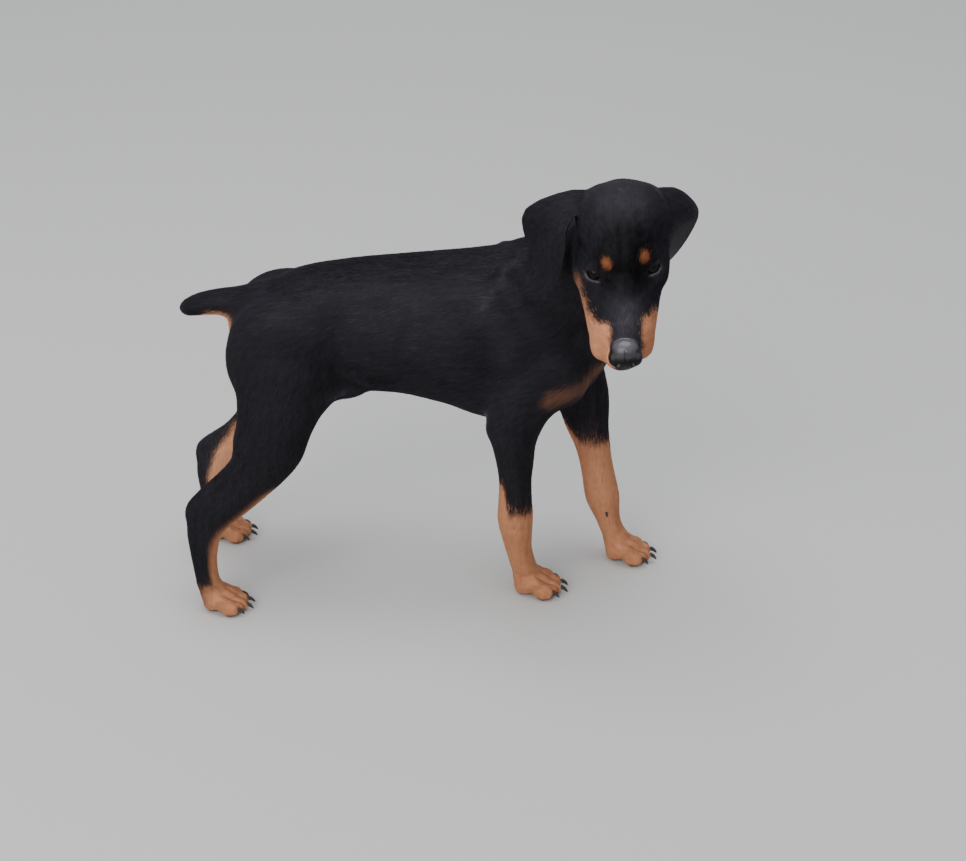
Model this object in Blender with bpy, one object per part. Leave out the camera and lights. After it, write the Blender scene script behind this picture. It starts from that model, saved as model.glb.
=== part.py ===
"""A young doberman pinscher, life size, standing with its head turned to its right and lowered.

Metres, +Z up. The dog faces +X and its left side is +Y. All four paws stand on the plane z = 0.
The flesh is modelled whole from lofts and rounded masses, fused, and then parted with thin cuts.
"""

import math

import bmesh
import bpy
import numpy as np
from mathutils import Euler, Matrix, Vector
from mathutils.bvhtree import BVHTree

GAP = 0.0003
VOXEL = 0.0021
SMOOTH_ROUNDS = 70
BODY_TRIANGLES = 6980
NOSE_VOXEL = 0.0009
NOSE_TRIANGLES = 420

BLACK_COAT = ((0.012, 0.012, 0.015, 1.0), 0.45)
RUST_COAT = ((0.480, 0.165, 0.070, 1.0), 0.60)
NOSE_LEATHER = ((0.020, 0.018, 0.020, 1.0), 0.35)
EYE_BROWN = ((0.050, 0.022, 0.010, 1.0), 0.08)
CLAW_HORN = ((0.030, 0.025, 0.022, 1.0), 0.30)


# Helpers that turn sizes into meshes

def clear_scene():
    for old in list(bpy.data.objects):
        bpy.data.objects.remove(old, do_unlink=True)


def material(name, look):
    colour, roughness = look
    made = bpy.data.materials.new(name)
    made.use_nodes = True
    shader = made.node_tree.nodes["Principled BSDF"]
    shader.inputs["Base Color"].default_value = colour
    shader.inputs["Roughness"].default_value = roughness
    shader.inputs["Metallic"].default_value = 0.0
    return made


def object_of(name, points, faces):
    mesh = bpy.data.meshes.new(name)
    mesh.from_pydata([tuple(p) for p in points], [], faces)
    mesh.update()
    made = bpy.data.objects.new(name, mesh)
    bpy.context.scene.collection.objects.link(made)
    return made


def spline(rows, steps):
    """Catmull-Rom through the rows, with this many steps from each row to the next."""
    rows = np.array(rows, float)
    padded = np.vstack([2 * rows[0] - rows[1], rows, 2 * rows[-1] - rows[-2]])
    out = []
    for i in range(1, len(padded) - 2):
        a, b, c, d = padded[i - 1:i + 3]
        for t in np.arange(steps) / steps:
            out.append(0.5 * (2 * b + (c - a) * t + (2 * a - 5 * b + 4 * c - d) * t * t
                              + (3 * b - a - 3 * c + d) * t ** 3))
    out.append(rows[-1])
    return np.array(out)


def loft(rows, front, steps=5, ring=28, square=2.0, turn=None, round_steps=(0.98, 0.85, 0.6, 0.25)):
    """A closed body along rows of (x, y, z, half side, half front, half back).

    Each ring stands square to the path; front is the world direction that its front half leans to.
    Both ends are rounded off. square is the exponent of the rings' superellipse.
    """
    dense = spline(rows, steps)
    centres = dense[:, :3]
    tangents = np.gradient(centres, axis=0)
    tangents /= np.linalg.norm(tangents, axis=1)[:, None]
    angles = np.linspace(0.0, 2 * math.pi, ring, endpoint=False)
    across = np.sign(np.cos(angles)) * np.abs(np.cos(angles)) ** (2 / square)
    along = np.sign(np.sin(angles)) * np.abs(np.sin(angles)) ** (2 / square)
    front = np.array(front, float)
    rings = []

    def add_ring(centre, tangent, half, share):
        lean = front - tangent * (front @ tangent)
        lean /= np.linalg.norm(lean)
        side = np.cross(lean, tangent)
        reach = np.where(along > 0, half[1], half[2])
        rings.append(centre + share * (np.outer(across * half[0], side)
                                       + np.outer(along * reach, lean)))

    for share in reversed(round_steps):
        out = math.sqrt(1 - share ** 2) * dense[0, 3:].mean()
        add_ring(centres[0] - tangents[0] * out, tangents[0], dense[0, 3:], share)
    for centre, tangent, half in zip(centres, tangents, dense[:, 3:]):
        add_ring(centre, tangent, half, 1.0)
    for share in round_steps:
        out = math.sqrt(1 - share ** 2) * dense[-1, 3:].mean()
        add_ring(centres[-1] + tangents[-1] * out, tangents[-1], dense[-1, 3:], share)
    points = np.vstack(rings)
    if turn is not None:
        points = transformed(points, turn)
    faces = []
    for i in range(len(rings) - 1):
        for j in range(ring):
            k = (j + 1) % ring
            faces.append((i * ring + j, i * ring + k, (i + 1) * ring + k, (i + 1) * ring + j))
    faces.append(tuple(reversed(range(ring))))
    faces.append(tuple((len(rings) - 1) * ring + j for j in range(ring)))
    made = object_of("loft", points, faces)
    face_out(made)
    return made


def transformed(points, matrix):
    matrix = np.array(matrix)
    return points @ matrix[:3, :3].T + matrix[:3, 3]


def face_out(obj):
    """Turns all faces of a closed mesh outwards."""
    work = bmesh.new()
    work.from_mesh(obj.data)
    bmesh.ops.recalc_face_normals(work, faces=work.faces)
    if work.calc_volume(signed=True) < 0:
        bmesh.ops.reverse_faces(work, faces=work.faces)
    work.to_mesh(obj.data)
    work.free()


def ball(centre, radii, turn=(0, 0, 0), frame=None, segments=28, rings=18):
    """An ellipsoid. turn is in degrees about X, Y and Z; frame places it in a part's own axes."""
    work = bmesh.new()
    bmesh.ops.create_uvsphere(work, u_segments=segments, v_segments=rings, radius=1.0)
    turned = Euler([math.radians(a) for a in turn]).to_matrix().to_4x4()
    place = Matrix.Translation(centre) @ turned @ Matrix.Diagonal((*radii, 1.0))
    if frame is not None:
        place = frame @ place
    work.transform(place)
    mesh = bpy.data.meshes.new("ball")
    work.to_mesh(mesh)
    work.free()
    made = bpy.data.objects.new("ball", mesh)
    bpy.context.scene.collection.objects.link(made)
    return made


def box(centre, size, turn=(0, 0, 0), grow=0.0, frame=None):
    """A box cutter, size along its own axes, grown by the same amount on every side."""
    work = bmesh.new()
    bmesh.ops.create_cube(work, size=1.0)
    turned = Euler([math.radians(a) for a in turn]).to_matrix().to_4x4()
    place = Matrix.Translation(centre) @ turned @ Matrix.Diagonal(
        (*(s + 2 * grow for s in size), 1.0))
    if frame is not None:
        place = frame @ place
    work.transform(place)
    mesh = bpy.data.meshes.new("box")
    work.to_mesh(mesh)
    work.free()
    made = bpy.data.objects.new("box", mesh)
    bpy.context.scene.collection.objects.link(made)
    return made


def apply_modifiers(obj):
    """Replaces an object's mesh by what its modifiers make of it."""
    graph = bpy.context.evaluated_depsgraph_get()
    mesh = bpy.data.meshes.new_from_object(obj.evaluated_get(graph))
    obj.modifiers.clear()
    old = obj.data
    obj.data = mesh
    bpy.data.meshes.remove(old)


def remove(*objects):
    for obj in objects:
        bpy.data.objects.remove(obj, do_unlink=True)


def join(name, objects):
    """One object that holds the meshes of all these, still as separate shells."""
    work = bmesh.new()
    for obj in objects:
        work.from_mesh(obj.data)
    mesh = bpy.data.meshes.new(name)
    work.to_mesh(mesh)
    work.free()
    remove(*objects)
    made = bpy.data.objects.new(name, mesh)
    bpy.context.scene.collection.objects.link(made)
    return made


def boolean(obj, other, operation, keep_other=False):
    cut = obj.modifiers.new("cut", "BOOLEAN")
    cut.operation = operation
    cut.solver = "EXACT"
    cut.object = other
    apply_modifiers(obj)
    if not keep_other:
        remove(other)
    return obj


def copy_of(obj, name):
    made = bpy.data.objects.new(name, obj.data.copy())
    bpy.context.scene.collection.objects.link(made)
    return made


def keep_largest(obj):
    """Keeps only the closed surface with the largest volume."""
    work = bmesh.new()
    work.from_mesh(obj.data)
    bmesh.ops.remove_doubles(work, verts=work.verts, dist=2e-6)
    left = set(work.verts)
    shells = []
    while left:
        seed = left.pop()
        shell, frontier = {seed}, [seed]
        while frontier:
            for edge in frontier.pop().link_edges:
                for vert in edge.verts:
                    if vert not in shell:
                        shell.add(vert)
                        frontier.append(vert)
        left -= shell
        shells.append(shell)

    def volume(shell):
        total = 0.0
        for face in {f for v in shell for f in v.link_faces}:
            a = face.verts[0].co
            for b, c in zip(face.verts[1:-1], face.verts[2:]):
                total += a.dot(b.co.cross(c.co))
        return abs(total)

    shells.sort(key=volume, reverse=True)
    drop = [v for shell in shells[1:] for v in shell]
    bmesh.ops.delete(work, geom=drop, context="VERTS")
    bmesh.ops.triangulate(work, faces=work.faces)
    work.to_mesh(obj.data)
    work.free()
    return obj


# The trunk: a deep chest, a tucked-up belly and a sloping croup

TRUNK = (
    # x       top    bottom  half width
    (-0.172, 0.354, 0.268, 0.038),
    (-0.150, 0.368, 0.249, 0.047),
    (-0.120, 0.380, 0.242, 0.049),
    (-0.080, 0.388, 0.236, 0.046),
    (-0.025, 0.393, 0.233, 0.051),
    (0.030, 0.398, 0.220, 0.058),
    (0.072, 0.403, 0.204, 0.060),
    (0.108, 0.398, 0.202, 0.056),
    (0.136, 0.380, 0.218, 0.050),
    (0.156, 0.352, 0.244, 0.040),
)
WIDEST_SHARE = 0.52


def trunk():
    rows = []
    for x, top, bottom, half_width in TRUNK:
        middle = bottom + (top - bottom) * WIDEST_SHARE
        rows.append((x, 0.0, middle, half_width, top - middle, middle - bottom))
    body = loft(rows, front=(0, 0, 1), steps=5, ring=36, square=2.15)
    masses = [
        body,
        ball((0.085, 0.0, 0.369), (0.062, 0.028, 0.033), (0, -6, 0)),
        ball((-0.118, 0.0, 0.345), (0.062, 0.046, 0.033), (0, -14, 0)),
        ball((0.140, 0.0, 0.268), (0.058, 0.042, 0.046), (0, -38, 0)),
        ball((-0.174, 0.0, 0.312), (0.032, 0.040, 0.040)),
    ]
    return masses


# The neck rises from the shoulders and bends to the right towards the head

NECK = (
    # x      y       z      side   front  back
    (0.082, 0.000, 0.338, 0.040, 0.060, 0.060),
    (0.124, 0.000, 0.356, 0.046, 0.058, 0.060),
    (0.158, -0.006, 0.384, 0.047, 0.052, 0.054),
    (0.184, -0.022, 0.414, 0.045, 0.047, 0.048),
    (0.198, -0.046, 0.438, 0.041, 0.042, 0.042),
    (0.200, -0.068, 0.446, 0.036, 0.038, 0.038),
)


def neck():
    return [loft(NECK, front=(-0.5, 0.3, 1.0), steps=6, ring=32)]


# The legs: upper masses as ellipsoids, and each lower leg as a loft down to the paw

FORE_RIGHT = (
    # x      y       z      side   front  back
    (0.106, -0.044, 0.262, 0.022, 0.036, 0.034),
    (0.098, -0.049, 0.228, 0.0235, 0.031, 0.031),
    (0.0935, -0.051, 0.201, 0.0215, 0.0255, 0.0265),
    (0.0945, -0.050, 0.175, 0.0190, 0.0222, 0.0222),
    (0.0950, -0.049, 0.148, 0.0165, 0.0190, 0.0190),
    (0.0952, -0.048, 0.122, 0.0165, 0.0195, 0.0195),
    (0.0955, -0.047, 0.100, 0.0180, 0.0210, 0.0210),
    (0.0970, -0.047, 0.078, 0.0165, 0.0180, 0.0180),
    (0.1000, -0.046, 0.056, 0.0150, 0.0150, 0.0150),
    (0.1050, -0.045, 0.036, 0.0155, 0.0145, 0.0145),
)
FORE_LEFT = (
    (0.150, 0.044, 0.250, 0.022, 0.040, 0.040),
    (0.164, 0.048, 0.216, 0.0235, 0.036, 0.036),
    (0.1725, 0.049, 0.190, 0.0215, 0.031, 0.030),
    (0.1770, 0.047, 0.166, 0.0200, 0.0262, 0.0262),
    (0.1830, 0.044, 0.143, 0.0175, 0.0215, 0.0215),
    (0.1880, 0.041, 0.118, 0.0165, 0.0195, 0.0195),
    (0.1930, 0.038, 0.092, 0.0175, 0.0200, 0.0200),
    (0.1970, 0.036, 0.073, 0.0175, 0.0200, 0.0200),
    (0.2030, 0.032, 0.050, 0.0150, 0.0145, 0.0145),
    (0.2090, 0.030, 0.032, 0.0155, 0.0130, 0.0130),
)
HIND_RIGHT = (
    (-0.150, -0.030, 0.322, 0.024, 0.040, 0.044),
    (-0.150, -0.038, 0.290, 0.030, 0.052, 0.054),
    (-0.150, -0.043, 0.262, 0.032, 0.052, 0.055),
    (-0.156, -0.048, 0.240, 0.031, 0.046, 0.049),
    (-0.162, -0.053, 0.218, 0.0290, 0.0410, 0.0430),
    (-0.168, -0.057, 0.194, 0.0265, 0.0380, 0.0380),
    (-0.181, -0.060, 0.170, 0.0235, 0.0310, 0.0310),
    (-0.203, -0.063, 0.141, 0.0190, 0.0235, 0.0235),
    (-0.226, -0.066, 0.120, 0.0165, 0.0220, 0.0225),
    (-0.2415, -0.068, 0.098, 0.0165, 0.0195, 0.0225),
    (-0.2455, -0.070, 0.075, 0.0145, 0.0160, 0.0170),
    (-0.2455, -0.073, 0.053, 0.0135, 0.0138, 0.0140),
    (-0.2430, -0.076, 0.032, 0.0145, 0.0132, 0.0132),
)
HIND_LEFT_SHIFT = -0.007
HIND_LEFT_NARROWER = 0.010


def hind_left_rows():
    """The left hind leg repeats the right one, a little further back and closer to the midline."""
    rows = []
    for x, y, z, *half in HIND_RIGHT:
        low = 1.0 - z / HIND_RIGHT[0][2]
        rows.append((x + HIND_LEFT_SHIFT * low, -y - HIND_LEFT_NARROWER * low, z, *half))
    return rows


def shoulder(side, reach):
    """Blade, point of the shoulder, upper arm and elbow. reach moves the limb's lower end forward."""
    return [
        ball((0.104, 0.032 * side, 0.325), (0.032, 0.024, 0.074), (0, -22, 0)),
        ball((0.136 + 0.10 * reach, 0.036 * side, 0.272), (0.036, 0.025, 0.044), (0, -30, 0)),
        ball((0.106 + 0.35 * reach, 0.044 * side, 0.248), (0.048, 0.023, 0.036), (0, -35, 0)),
        ball((0.080 + 0.62 * reach, 0.050 * side, 0.214), (0.020, 0.018, 0.022), (0, -10, 0)),
    ]


def haunch(side, shift):
    """Rump, thigh, buttock, the fold of the flank, calf, and the heel's point with its tendon."""
    return [
        ball((-0.150 + shift, 0.034 * side, 0.305), (0.062, 0.030, 0.058), (0, -14, 0)),
        ball((-0.178 + shift, 0.036 * side, 0.292), (0.036, 0.026, 0.056), (0, 4, 0)),
        ball((-0.124 + shift, 0.040 * side, 0.256), (0.030, 0.020, 0.034), (0, 25, 0)),
        ball((-0.180 + shift, 0.054 * side, 0.200), (0.030, 0.020, 0.040), (0, 14, 0)),
    ]


def heel(rows, side):
    """The point of the hock stands out behind, with the tendon that runs down to it."""
    x, y, z = rows[9][:3]
    top = rows[6][:3]
    tendon = loft(
        (
            (top[0] - 0.020, top[1], top[2] + 0.008, 0.009, 0.010, 0.010),
            (top[0] - 0.042, top[1] - 0.003 * side, top[2] - 0.014, 0.0075, 0.008, 0.008),
            (x - 0.0125, y, z + 0.030, 0.0080, 0.0085, 0.0085),
            (x - 0.0150, y, z + 0.012, 0.0090, 0.0085, 0.0085),
        ),
        front=(-1, 0, 0), steps=4, ring=16)
    return [tendon, ball((x - 0.0135, y, z + 0.018), (0.0098, 0.0095, 0.0120))]


# The flank folds: a web of loose skin from the belly to the front of each thigh

FLANK_FOLD = (-0.0876, 0.0323, 0.2620)
FLANK_HALF = (0.0320, 0.0105, 0.0265)


def flank_folds():
    x, y, z = FLANK_FOLD
    return [ball((x, y * side, z), FLANK_HALF) for side in (-1, 1)]


# A paw: a rounded body, two heel pads and four arched toes, cut flat by the floor

TOES = (
    # forward, side, radius across, share of length
    (0.0138, -0.0164, 0.0068, 0.90),
    (0.0212, -0.0061, 0.0069, 1.00),
    (0.0212, 0.0061, 0.0069, 1.00),
    (0.0138, 0.0164, 0.0068, 0.90),
)
TOE_LENGTH = 0.0137
TOE_HEIGHT = 0.0088


def paw_frame(x, y, heading, size):
    return (Matrix.Translation((x, y, 0.0)) @ Matrix.Rotation(math.radians(heading), 4, "Z")
            @ Matrix.Diagonal((size, size, size, 1.0)))


def paw(frame, ankle):
    """ankle is the lower end of the leg, which the paw's body reaches up to."""
    down = frame.inverted() @ Vector(ankle)
    pieces = [
        ball((-0.001, 0, 0.0135), (0.0175, 0.0170, 0.0125), frame=frame),
        ball((down.x * 0.6, down.y * 0.6, 0.023), (0.0150, 0.0145, 0.0160), frame=frame),
        ball((-0.006, 0, 0.0060), (0.0120, 0.0135, 0.0078), frame=frame),
    ]
    for forward, across, radius, share in TOES:
        length = TOE_LENGTH * share
        pieces += [
            ball((forward, across, TOE_HEIGHT), (length, radius, 0.0098),
                 (0, 10, 700 * across), frame=frame, segments=20, rings=12),
            ball((forward - 0.0105, across * 0.84, 0.0168), (length, radius * 0.94, 0.0088),
                 (0, 28, 400 * across), frame=frame, segments=20, rings=12),
        ]
    return pieces


PAWS = {
    # name            x       y      heading size  row of the leg's lower end
    "fore_right": (0.1130, -0.0450, -3.0, 1.05, FORE_RIGHT[-1]),
    "fore_left": (0.2190, 0.0230, -6.0, 1.02, FORE_LEFT[-1]),
    "hind_right": (-0.2330, -0.0780, -2.0, 0.98, HIND_RIGHT[-1]),
    "hind_left": (-0.2440, 0.0680, 2.0, 0.98, hind_left_rows()[-1]),
}


# The tail is docked: a short tapering stump, carried level

TAIL = (
    (-0.170, 0.0, 0.340, 0.028, 0.024, 0.026),
    (-0.195, 0.0, 0.3405, 0.0215, 0.0170, 0.0210),
    (-0.220, 0.0, 0.3400, 0.0165, 0.0145, 0.0155),
    (-0.240, 0.0, 0.3370, 0.0145, 0.0132, 0.0138),
    (-0.254, 0.0, 0.3325, 0.0120, 0.0112, 0.0118),
)


def tail():
    return [loft(TAIL, front=(0, 0, 1), steps=5, ring=24)]


# The head, in its own axes: X to the nose, Y to its left, Z to the crown

HEAD_PLACE = (0.2005, -0.080, 0.448)
HEAD_YAW = -90.5
HEAD_PITCH = 32.0
HEAD_ROLL = 5.5


def head_frame():
    return (Matrix.Translation(HEAD_PLACE)
            @ Matrix.Rotation(math.radians(HEAD_YAW), 4, "Z")
            @ Matrix.Rotation(math.radians(HEAD_PITCH), 4, "Y")
            @ Matrix.Rotation(math.radians(HEAD_ROLL), 4, "X"))


MUZZLE = (
    # x      z       side   up     down
    (0.016, -0.022, 0.0430, 0.034, 0.024),
    (0.044, -0.029, 0.0405, 0.033, 0.021),
    (0.068, -0.032, 0.0365, 0.0300, 0.019),
    (0.090, -0.034, 0.0328, 0.0265, 0.017),
    (0.106, -0.0350, 0.0268, 0.0232, 0.015),
    (0.1155, -0.0355, 0.0190, 0.0185, 0.0115),
)
LOWER_JAW = (
    (0.000, -0.040, 0.030, 0.014, 0.016),
    (0.030, -0.045, 0.027, 0.014, 0.013),
    (0.062, -0.049, 0.022, 0.013, 0.010),
    (0.090, -0.050, 0.017, 0.012, 0.008),
    (0.103, -0.050, 0.012, 0.010, 0.007),
)
MOUTH_LINE = (
    # x      z
    (0.046, -0.0440),
    (0.060, -0.0475),
    (0.078, -0.0490),
    (0.096, -0.0475),
    (0.112, -0.0445),
    (0.136, -0.0435),
)
MOUTH_GROOVE = 0.0011
EYE_CENTRE = (0.0356, 0.0262, 0.0030)
# the puppy lifts its left brow: that eye sits this much higher, and the right one lower
BROW_LIFT = 0.0018
# the loose flesh of the face hangs to the right of the tilted skull, more the lower it lies
FLESH_LEAN = 0.19
FLESH_LEAN_MOST = 0.0060
EYE_RADIUS = 0.0098
EYE_TURN_OUT = 30.0
EYE_TURN_DOWN = -20.0
LID_THICKNESS = 0.0026
EYE_OPENING = (0.0092, 0.0056)
EYE_SLANT = -14.0


def head_loft(rows, frame, square=2.0, ring=28):
    full = [(x, 0.0, z, side, up, down) for x, z, side, up, down in rows]
    return loft(full, front=(0, 0, 1), steps=5, ring=ring, square=square, turn=frame)


def head_masses(frame):
    pieces = [
        ball((-0.010, 0, 0.008), (0.051, 0.0450, 0.0445), frame=frame),
        ball((-0.012, -0.016, 0.020), (0.040, 0.0320, 0.0305), frame=frame),
        ball((-0.012, 0.016, 0.020), (0.040, 0.0320, 0.0305), frame=frame),
        ball((0.013, 0, 0.011), (0.038, 0.038, 0.032), (0, 12, 0), frame=frame),
        ball((0.046, 0, 0.001), (0.024, 0.020, 0.014), (0, 22, 0), frame=frame),
        head_loft(MUZZLE, frame, square=2.15),
        head_loft(LOWER_JAW, frame),
        ball((-0.020, 0, -0.034), (0.036, 0.030, 0.022), frame=frame),
        ball((0.104, 0, -0.0505), (0.012, 0.0125, 0.0075), frame=frame),
    ]
    for side in (-1, 1):
        pieces += [
            ball((0.035 - BROW_LIFT * side, 0.020 * side, 0.0100), (0.016, 0.013, 0.0095),
                 (0, 20, -12 * side), frame=frame),
            ball((0.040, 0.0235 * side, -0.021), (0.034, 0.0185, 0.0190), (0, 6, -8 * side),
                 frame=frame),
            ball((0.016, 0.0335 * side, -0.008), (0.036, 0.0150, 0.020), (0, 8, 6 * side),
                 frame=frame),
            ball((-0.006, 0.0300 * side, -0.024), (0.034, 0.0180, 0.026), frame=frame),
            ball((0.090, 0.0190 * side, -0.037), (0.0265, 0.0135, 0.0165), (0, 6, 8 * side),
                 frame=frame),
        ]
    for piece in pieces:
        lean(piece, frame)
    return pieces


def lean(piece, frame):
    """Slides the lower flesh of the head to its right, below the brow and the bridge of the muzzle."""
    back = frame.inverted()
    for vert in piece.data.vertices:
        x, y, z = back @ vert.co
        top = 0.012 - 0.016 * min(1.0, max(0.0, (x - 0.030) / 0.030))
        fades = min(1.0, max(0.0, (x + 0.050) / 0.050))
        y -= fades * min(FLESH_LEAN_MOST, FLESH_LEAN * max(0.0, top - z))
        vert.co = frame @ Vector((x, y, z))


def eye_frame(frame, side):
    """The eye's own axes: X out of the pupil, Y along the opening, Z up."""
    x, y, z = EYE_CENTRE
    return (frame @ Matrix.Translation((x - BROW_LIFT * side, y * side - 0.0015, z + 0.0005 * side))
            @ Matrix.Rotation(math.radians(EYE_TURN_OUT * side), 4, "Z")
            @ Matrix.Rotation(math.radians(EYE_TURN_DOWN), 4, "Y")
            @ Matrix.Rotation(math.radians(EYE_SLANT * side), 4, "X"))


def lids(frame, side):
    """A thick shell over the eyeball, whose opening is cut later."""
    place = eye_frame(frame, side)
    reach = EYE_RADIUS + LID_THICKNESS
    return ball((-0.0008, 0, 0), (reach, reach * 1.12, reach * 0.98), frame=place)


def open_eye(head, frame, side):
    """Cuts the eye's socket and the almond opening between the lids."""
    place = eye_frame(frame, side)
    clear = EYE_RADIUS + GAP
    boolean(head, ball((0, 0, 0), (clear, clear, clear), frame=place, segments=20, rings=14),
            "DIFFERENCE")
    half_length, half_height = EYE_OPENING
    boolean(head, ball((EYE_RADIUS, 0, 0), (EYE_RADIUS, half_length, half_height), frame=place,
                       segments=20, rings=12), "DIFFERENCE")


def eyeball(name, frame, side):
    made = ball((0, 0, 0), (EYE_RADIUS,) * 3, frame=eye_frame(frame, side), segments=16, rings=10)
    made.name = name
    return made


# The ears: drop ears, each one leather sheet that rises from the skull, folds and hangs

EAR_THICKNESS = 0.0030
EAR_RIGHT = (
    # front edge: root, rise, bend, then down to the tip
    ((0.176, -0.080, 0.478), (0.156, -0.090, 0.481), (0.144, -0.098, 0.468), (0.142, -0.103, 0.449),
     (0.138, -0.101, 0.420), (0.131, -0.096, 0.396)),
    ((0.180, -0.062, 0.489), (0.157, -0.066, 0.490), (0.127, -0.078, 0.478), (0.121, -0.088, 0.450),
     (0.127, -0.092, 0.420), (0.130, -0.095, 0.395)),
    ((0.176, -0.042, 0.478), (0.148, -0.048, 0.487), (0.1025, -0.052, 0.469), (0.103, -0.058, 0.438),
     (0.118, -0.075, 0.412), (0.131, -0.093, 0.394)),
)
EAR_LEFT = (
    ((0.218, -0.084, 0.482), (0.232, -0.092, 0.484), (0.2385, -0.098, 0.471), (0.2385, -0.093, 0.450),
     (0.2390, -0.076, 0.424), (0.240, -0.052, 0.402)),
    ((0.221, -0.062, 0.492), (0.244, -0.068, 0.494), (0.266, -0.074, 0.475), (0.263, -0.068, 0.448),
     (0.254, -0.058, 0.422), (0.242, -0.046, 0.401)),
    ((0.224, -0.042, 0.478), (0.252, -0.046, 0.489), (0.2765, -0.048, 0.467), (0.269, -0.050, 0.441),
     (0.256, -0.048, 0.420), (0.241, -0.043, 0.400)),
)


def ear(edges, steps=3, across=4):
    """The sheet runs from the skull over the fold to the tip, and from its inner to its outer edge."""
    edges = [spline(row, steps) for row in edges]
    grid = np.array([spline([edge[i] for edge in edges], across) for i in range(len(edges[0]))])
    rows, columns = grid.shape[:2]
    faces = []
    for i in range(rows - 1):
        for j in range(columns - 1):
            a = i * columns + j
            faces.append((a, a + 1, a + columns + 1, a + columns))
    made = object_of("ear", grid.reshape(-1, 3), faces)
    solid = made.modifiers.new("thickness", "SOLIDIFY")
    solid.thickness = EAR_THICKNESS
    solid.offset = 0.0
    apply_modifiers(made)
    face_out(made)
    return made


# The nose leather, with its nostrils

NOSE_CENTRE = (0.1215, -0.0024, -0.0255)
NOSE_HALF = (0.0100, 0.0162, 0.0128)
NOSTRIL_SIDE = 0.0078
NOSTRIL_RADIUS = 0.0030


def nose(frame):
    x, y, z = NOSE_CENTRE
    pieces = [
        ball(NOSE_CENTRE, NOSE_HALF, (0, -14, 0), frame=frame),
        ball((x - 0.0060, y, z + 0.0050), (0.0125, 0.0150, 0.0105), frame=frame),
    ]
    for side in (-1, 1):
        pieces.append(ball((x - 0.0006, y + 0.0100 * side, z - 0.0008), (0.0088, 0.0070, 0.0088),
                           frame=frame))
    pad = fuse(pieces, NOSE_VOXEL, rounds=8, share=lambda point: 1.0)
    thin_out(pad, NOSE_TRIANGLES)
    for side in (-1, 1):
        hole = ball((x + 0.0085, y + NOSTRIL_SIDE * side, z - 0.0006),
                    (0.0050, NOSTRIL_RADIUS, NOSTRIL_RADIUS), (0, 0, 25 * side), frame=frame,
                    segments=10, rings=6)
        boolean(pad, hole, "DIFFERENCE")
    return pad


def mouth_groove(head, frame):
    """A fine furrow where the lips meet, from one corner of the mouth round the front to the other."""
    tree = surface_of(head)
    back = frame.inverted()

    def on_skin(start, goal):
        start, goal = frame @ Vector(start), frame @ Vector(goal)
        return back @ tree.ray_cast(start, (goal - start).normalized())[0]

    right = [on_skin((x, -0.08, z), (x, 0, z)) for x, z in MOUTH_LINE[:4]]
    x, z = MOUTH_LINE[3]
    turns = [math.radians(a) for a in (-62, -38, -18, 0)]
    front = [on_skin((x + 0.08 * math.cos(a), 0.08 * math.sin(a), z + 0.002), (x, 0, z + 0.002))
             for a in turns]
    half = [tuple(p) for p in right + front]
    path = half + [(x, -y, z) for x, y, z in reversed(half[:-1])]
    path = [(*p, MOUTH_GROOVE, MOUTH_GROOVE, MOUTH_GROOVE) for p in path]
    furrow = loft(path, front=(0, 0, 1), steps=3, ring=6, turn=frame)
    boolean(head, furrow, "DIFFERENCE")


def surface_of(obj):
    work = bmesh.new()
    work.from_mesh(obj.data)
    tree = BVHTree.FromBMesh(work)
    work.free()
    return tree


def jaw_prism(frame, shift):
    """What lies under the mouth line and in front of the throat, moved down by shift."""
    line = [(x, z - shift) for x, z in MOUTH_LINE]
    outline = [(0.028 + shift, -0.070), (0.036 + shift, -0.052), *line, (0.140, -0.070)]
    count = len(outline)
    points = [(x, y, z) for y in (-0.06, 0.06) for x, z in outline]
    faces = [tuple(range(count)), tuple(reversed(range(count, 2 * count)))]
    faces += [(i, (i + 1) % count, (i + 1) % count + count, i + count) for i in range(count)]
    made = object_of("prism", transformed(np.array(points), frame), faces)
    face_out(made)
    return made


# Claws: a dark curved horn on each toe, and a dew claw on the inside of each fore leg

CLAW = (
    # forward, up, radius
    (-0.0030, 0.0014, 0.0030),
    (0.0012, 0.0011, 0.0028),
    (0.0042, -0.0010, 0.0021),
    (0.0062, -0.0038, 0.0010),
)
CLAW_HEIGHT = 0.0082


def claw(place):
    rows = [(x, 0, z, r * 0.75, r, r) for x, z, r in CLAW]
    return loft(rows, front=(0, 0, 1), steps=1, ring=7, turn=place, round_steps=(0.7,))


def claws():
    made = {}
    for name, (x, y, heading, size, _) in PAWS.items():
        frame = paw_frame(x, y, heading, size)
        for number, (forward, across, _, share) in enumerate(TOES, 1):
            turn = Matrix.Rotation(14.0 * across, 4, "Z")
            tip = Matrix.Translation((forward + TOE_LENGTH * share * 0.90, across, CLAW_HEIGHT))
            made[f"claw_{name}_{number}"] = claw(frame @ tip @ turn)
    for name, (x, y, z, inward) in DEW_CLAWS.items():
        place = (Matrix.Translation((x, y, z)) @ Matrix.Rotation(math.radians(inward), 4, "Z")
                 @ Matrix.Rotation(math.radians(50), 4, "Y"))
        made[f"dew_claw_{name}"] = claw(place)
    return made


DEW_CLAWS = {
    "fore_right": (0.1010, -0.0335, 0.066, 35.0),
    "fore_left": (0.1990, 0.0200, 0.062, -35.0),
}


# Fusing, parting and finishing

def softness(point):
    """How far the masses melt together here: fully on the trunk, little on the head and the paws."""
    from_head = (point - Vector(HEAD_PLACE)).length
    head = min(1.0, max(0.14, (from_head - 0.085) / 0.060))
    if point.y > -0.02 or point.z < 0.30:
        head = max(head, min(1.0, (from_head - 0.075) / 0.03))
    legs = min(1.0, max(0.10, (point.z - 0.035) / 0.170))
    return min(head, legs)


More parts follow.
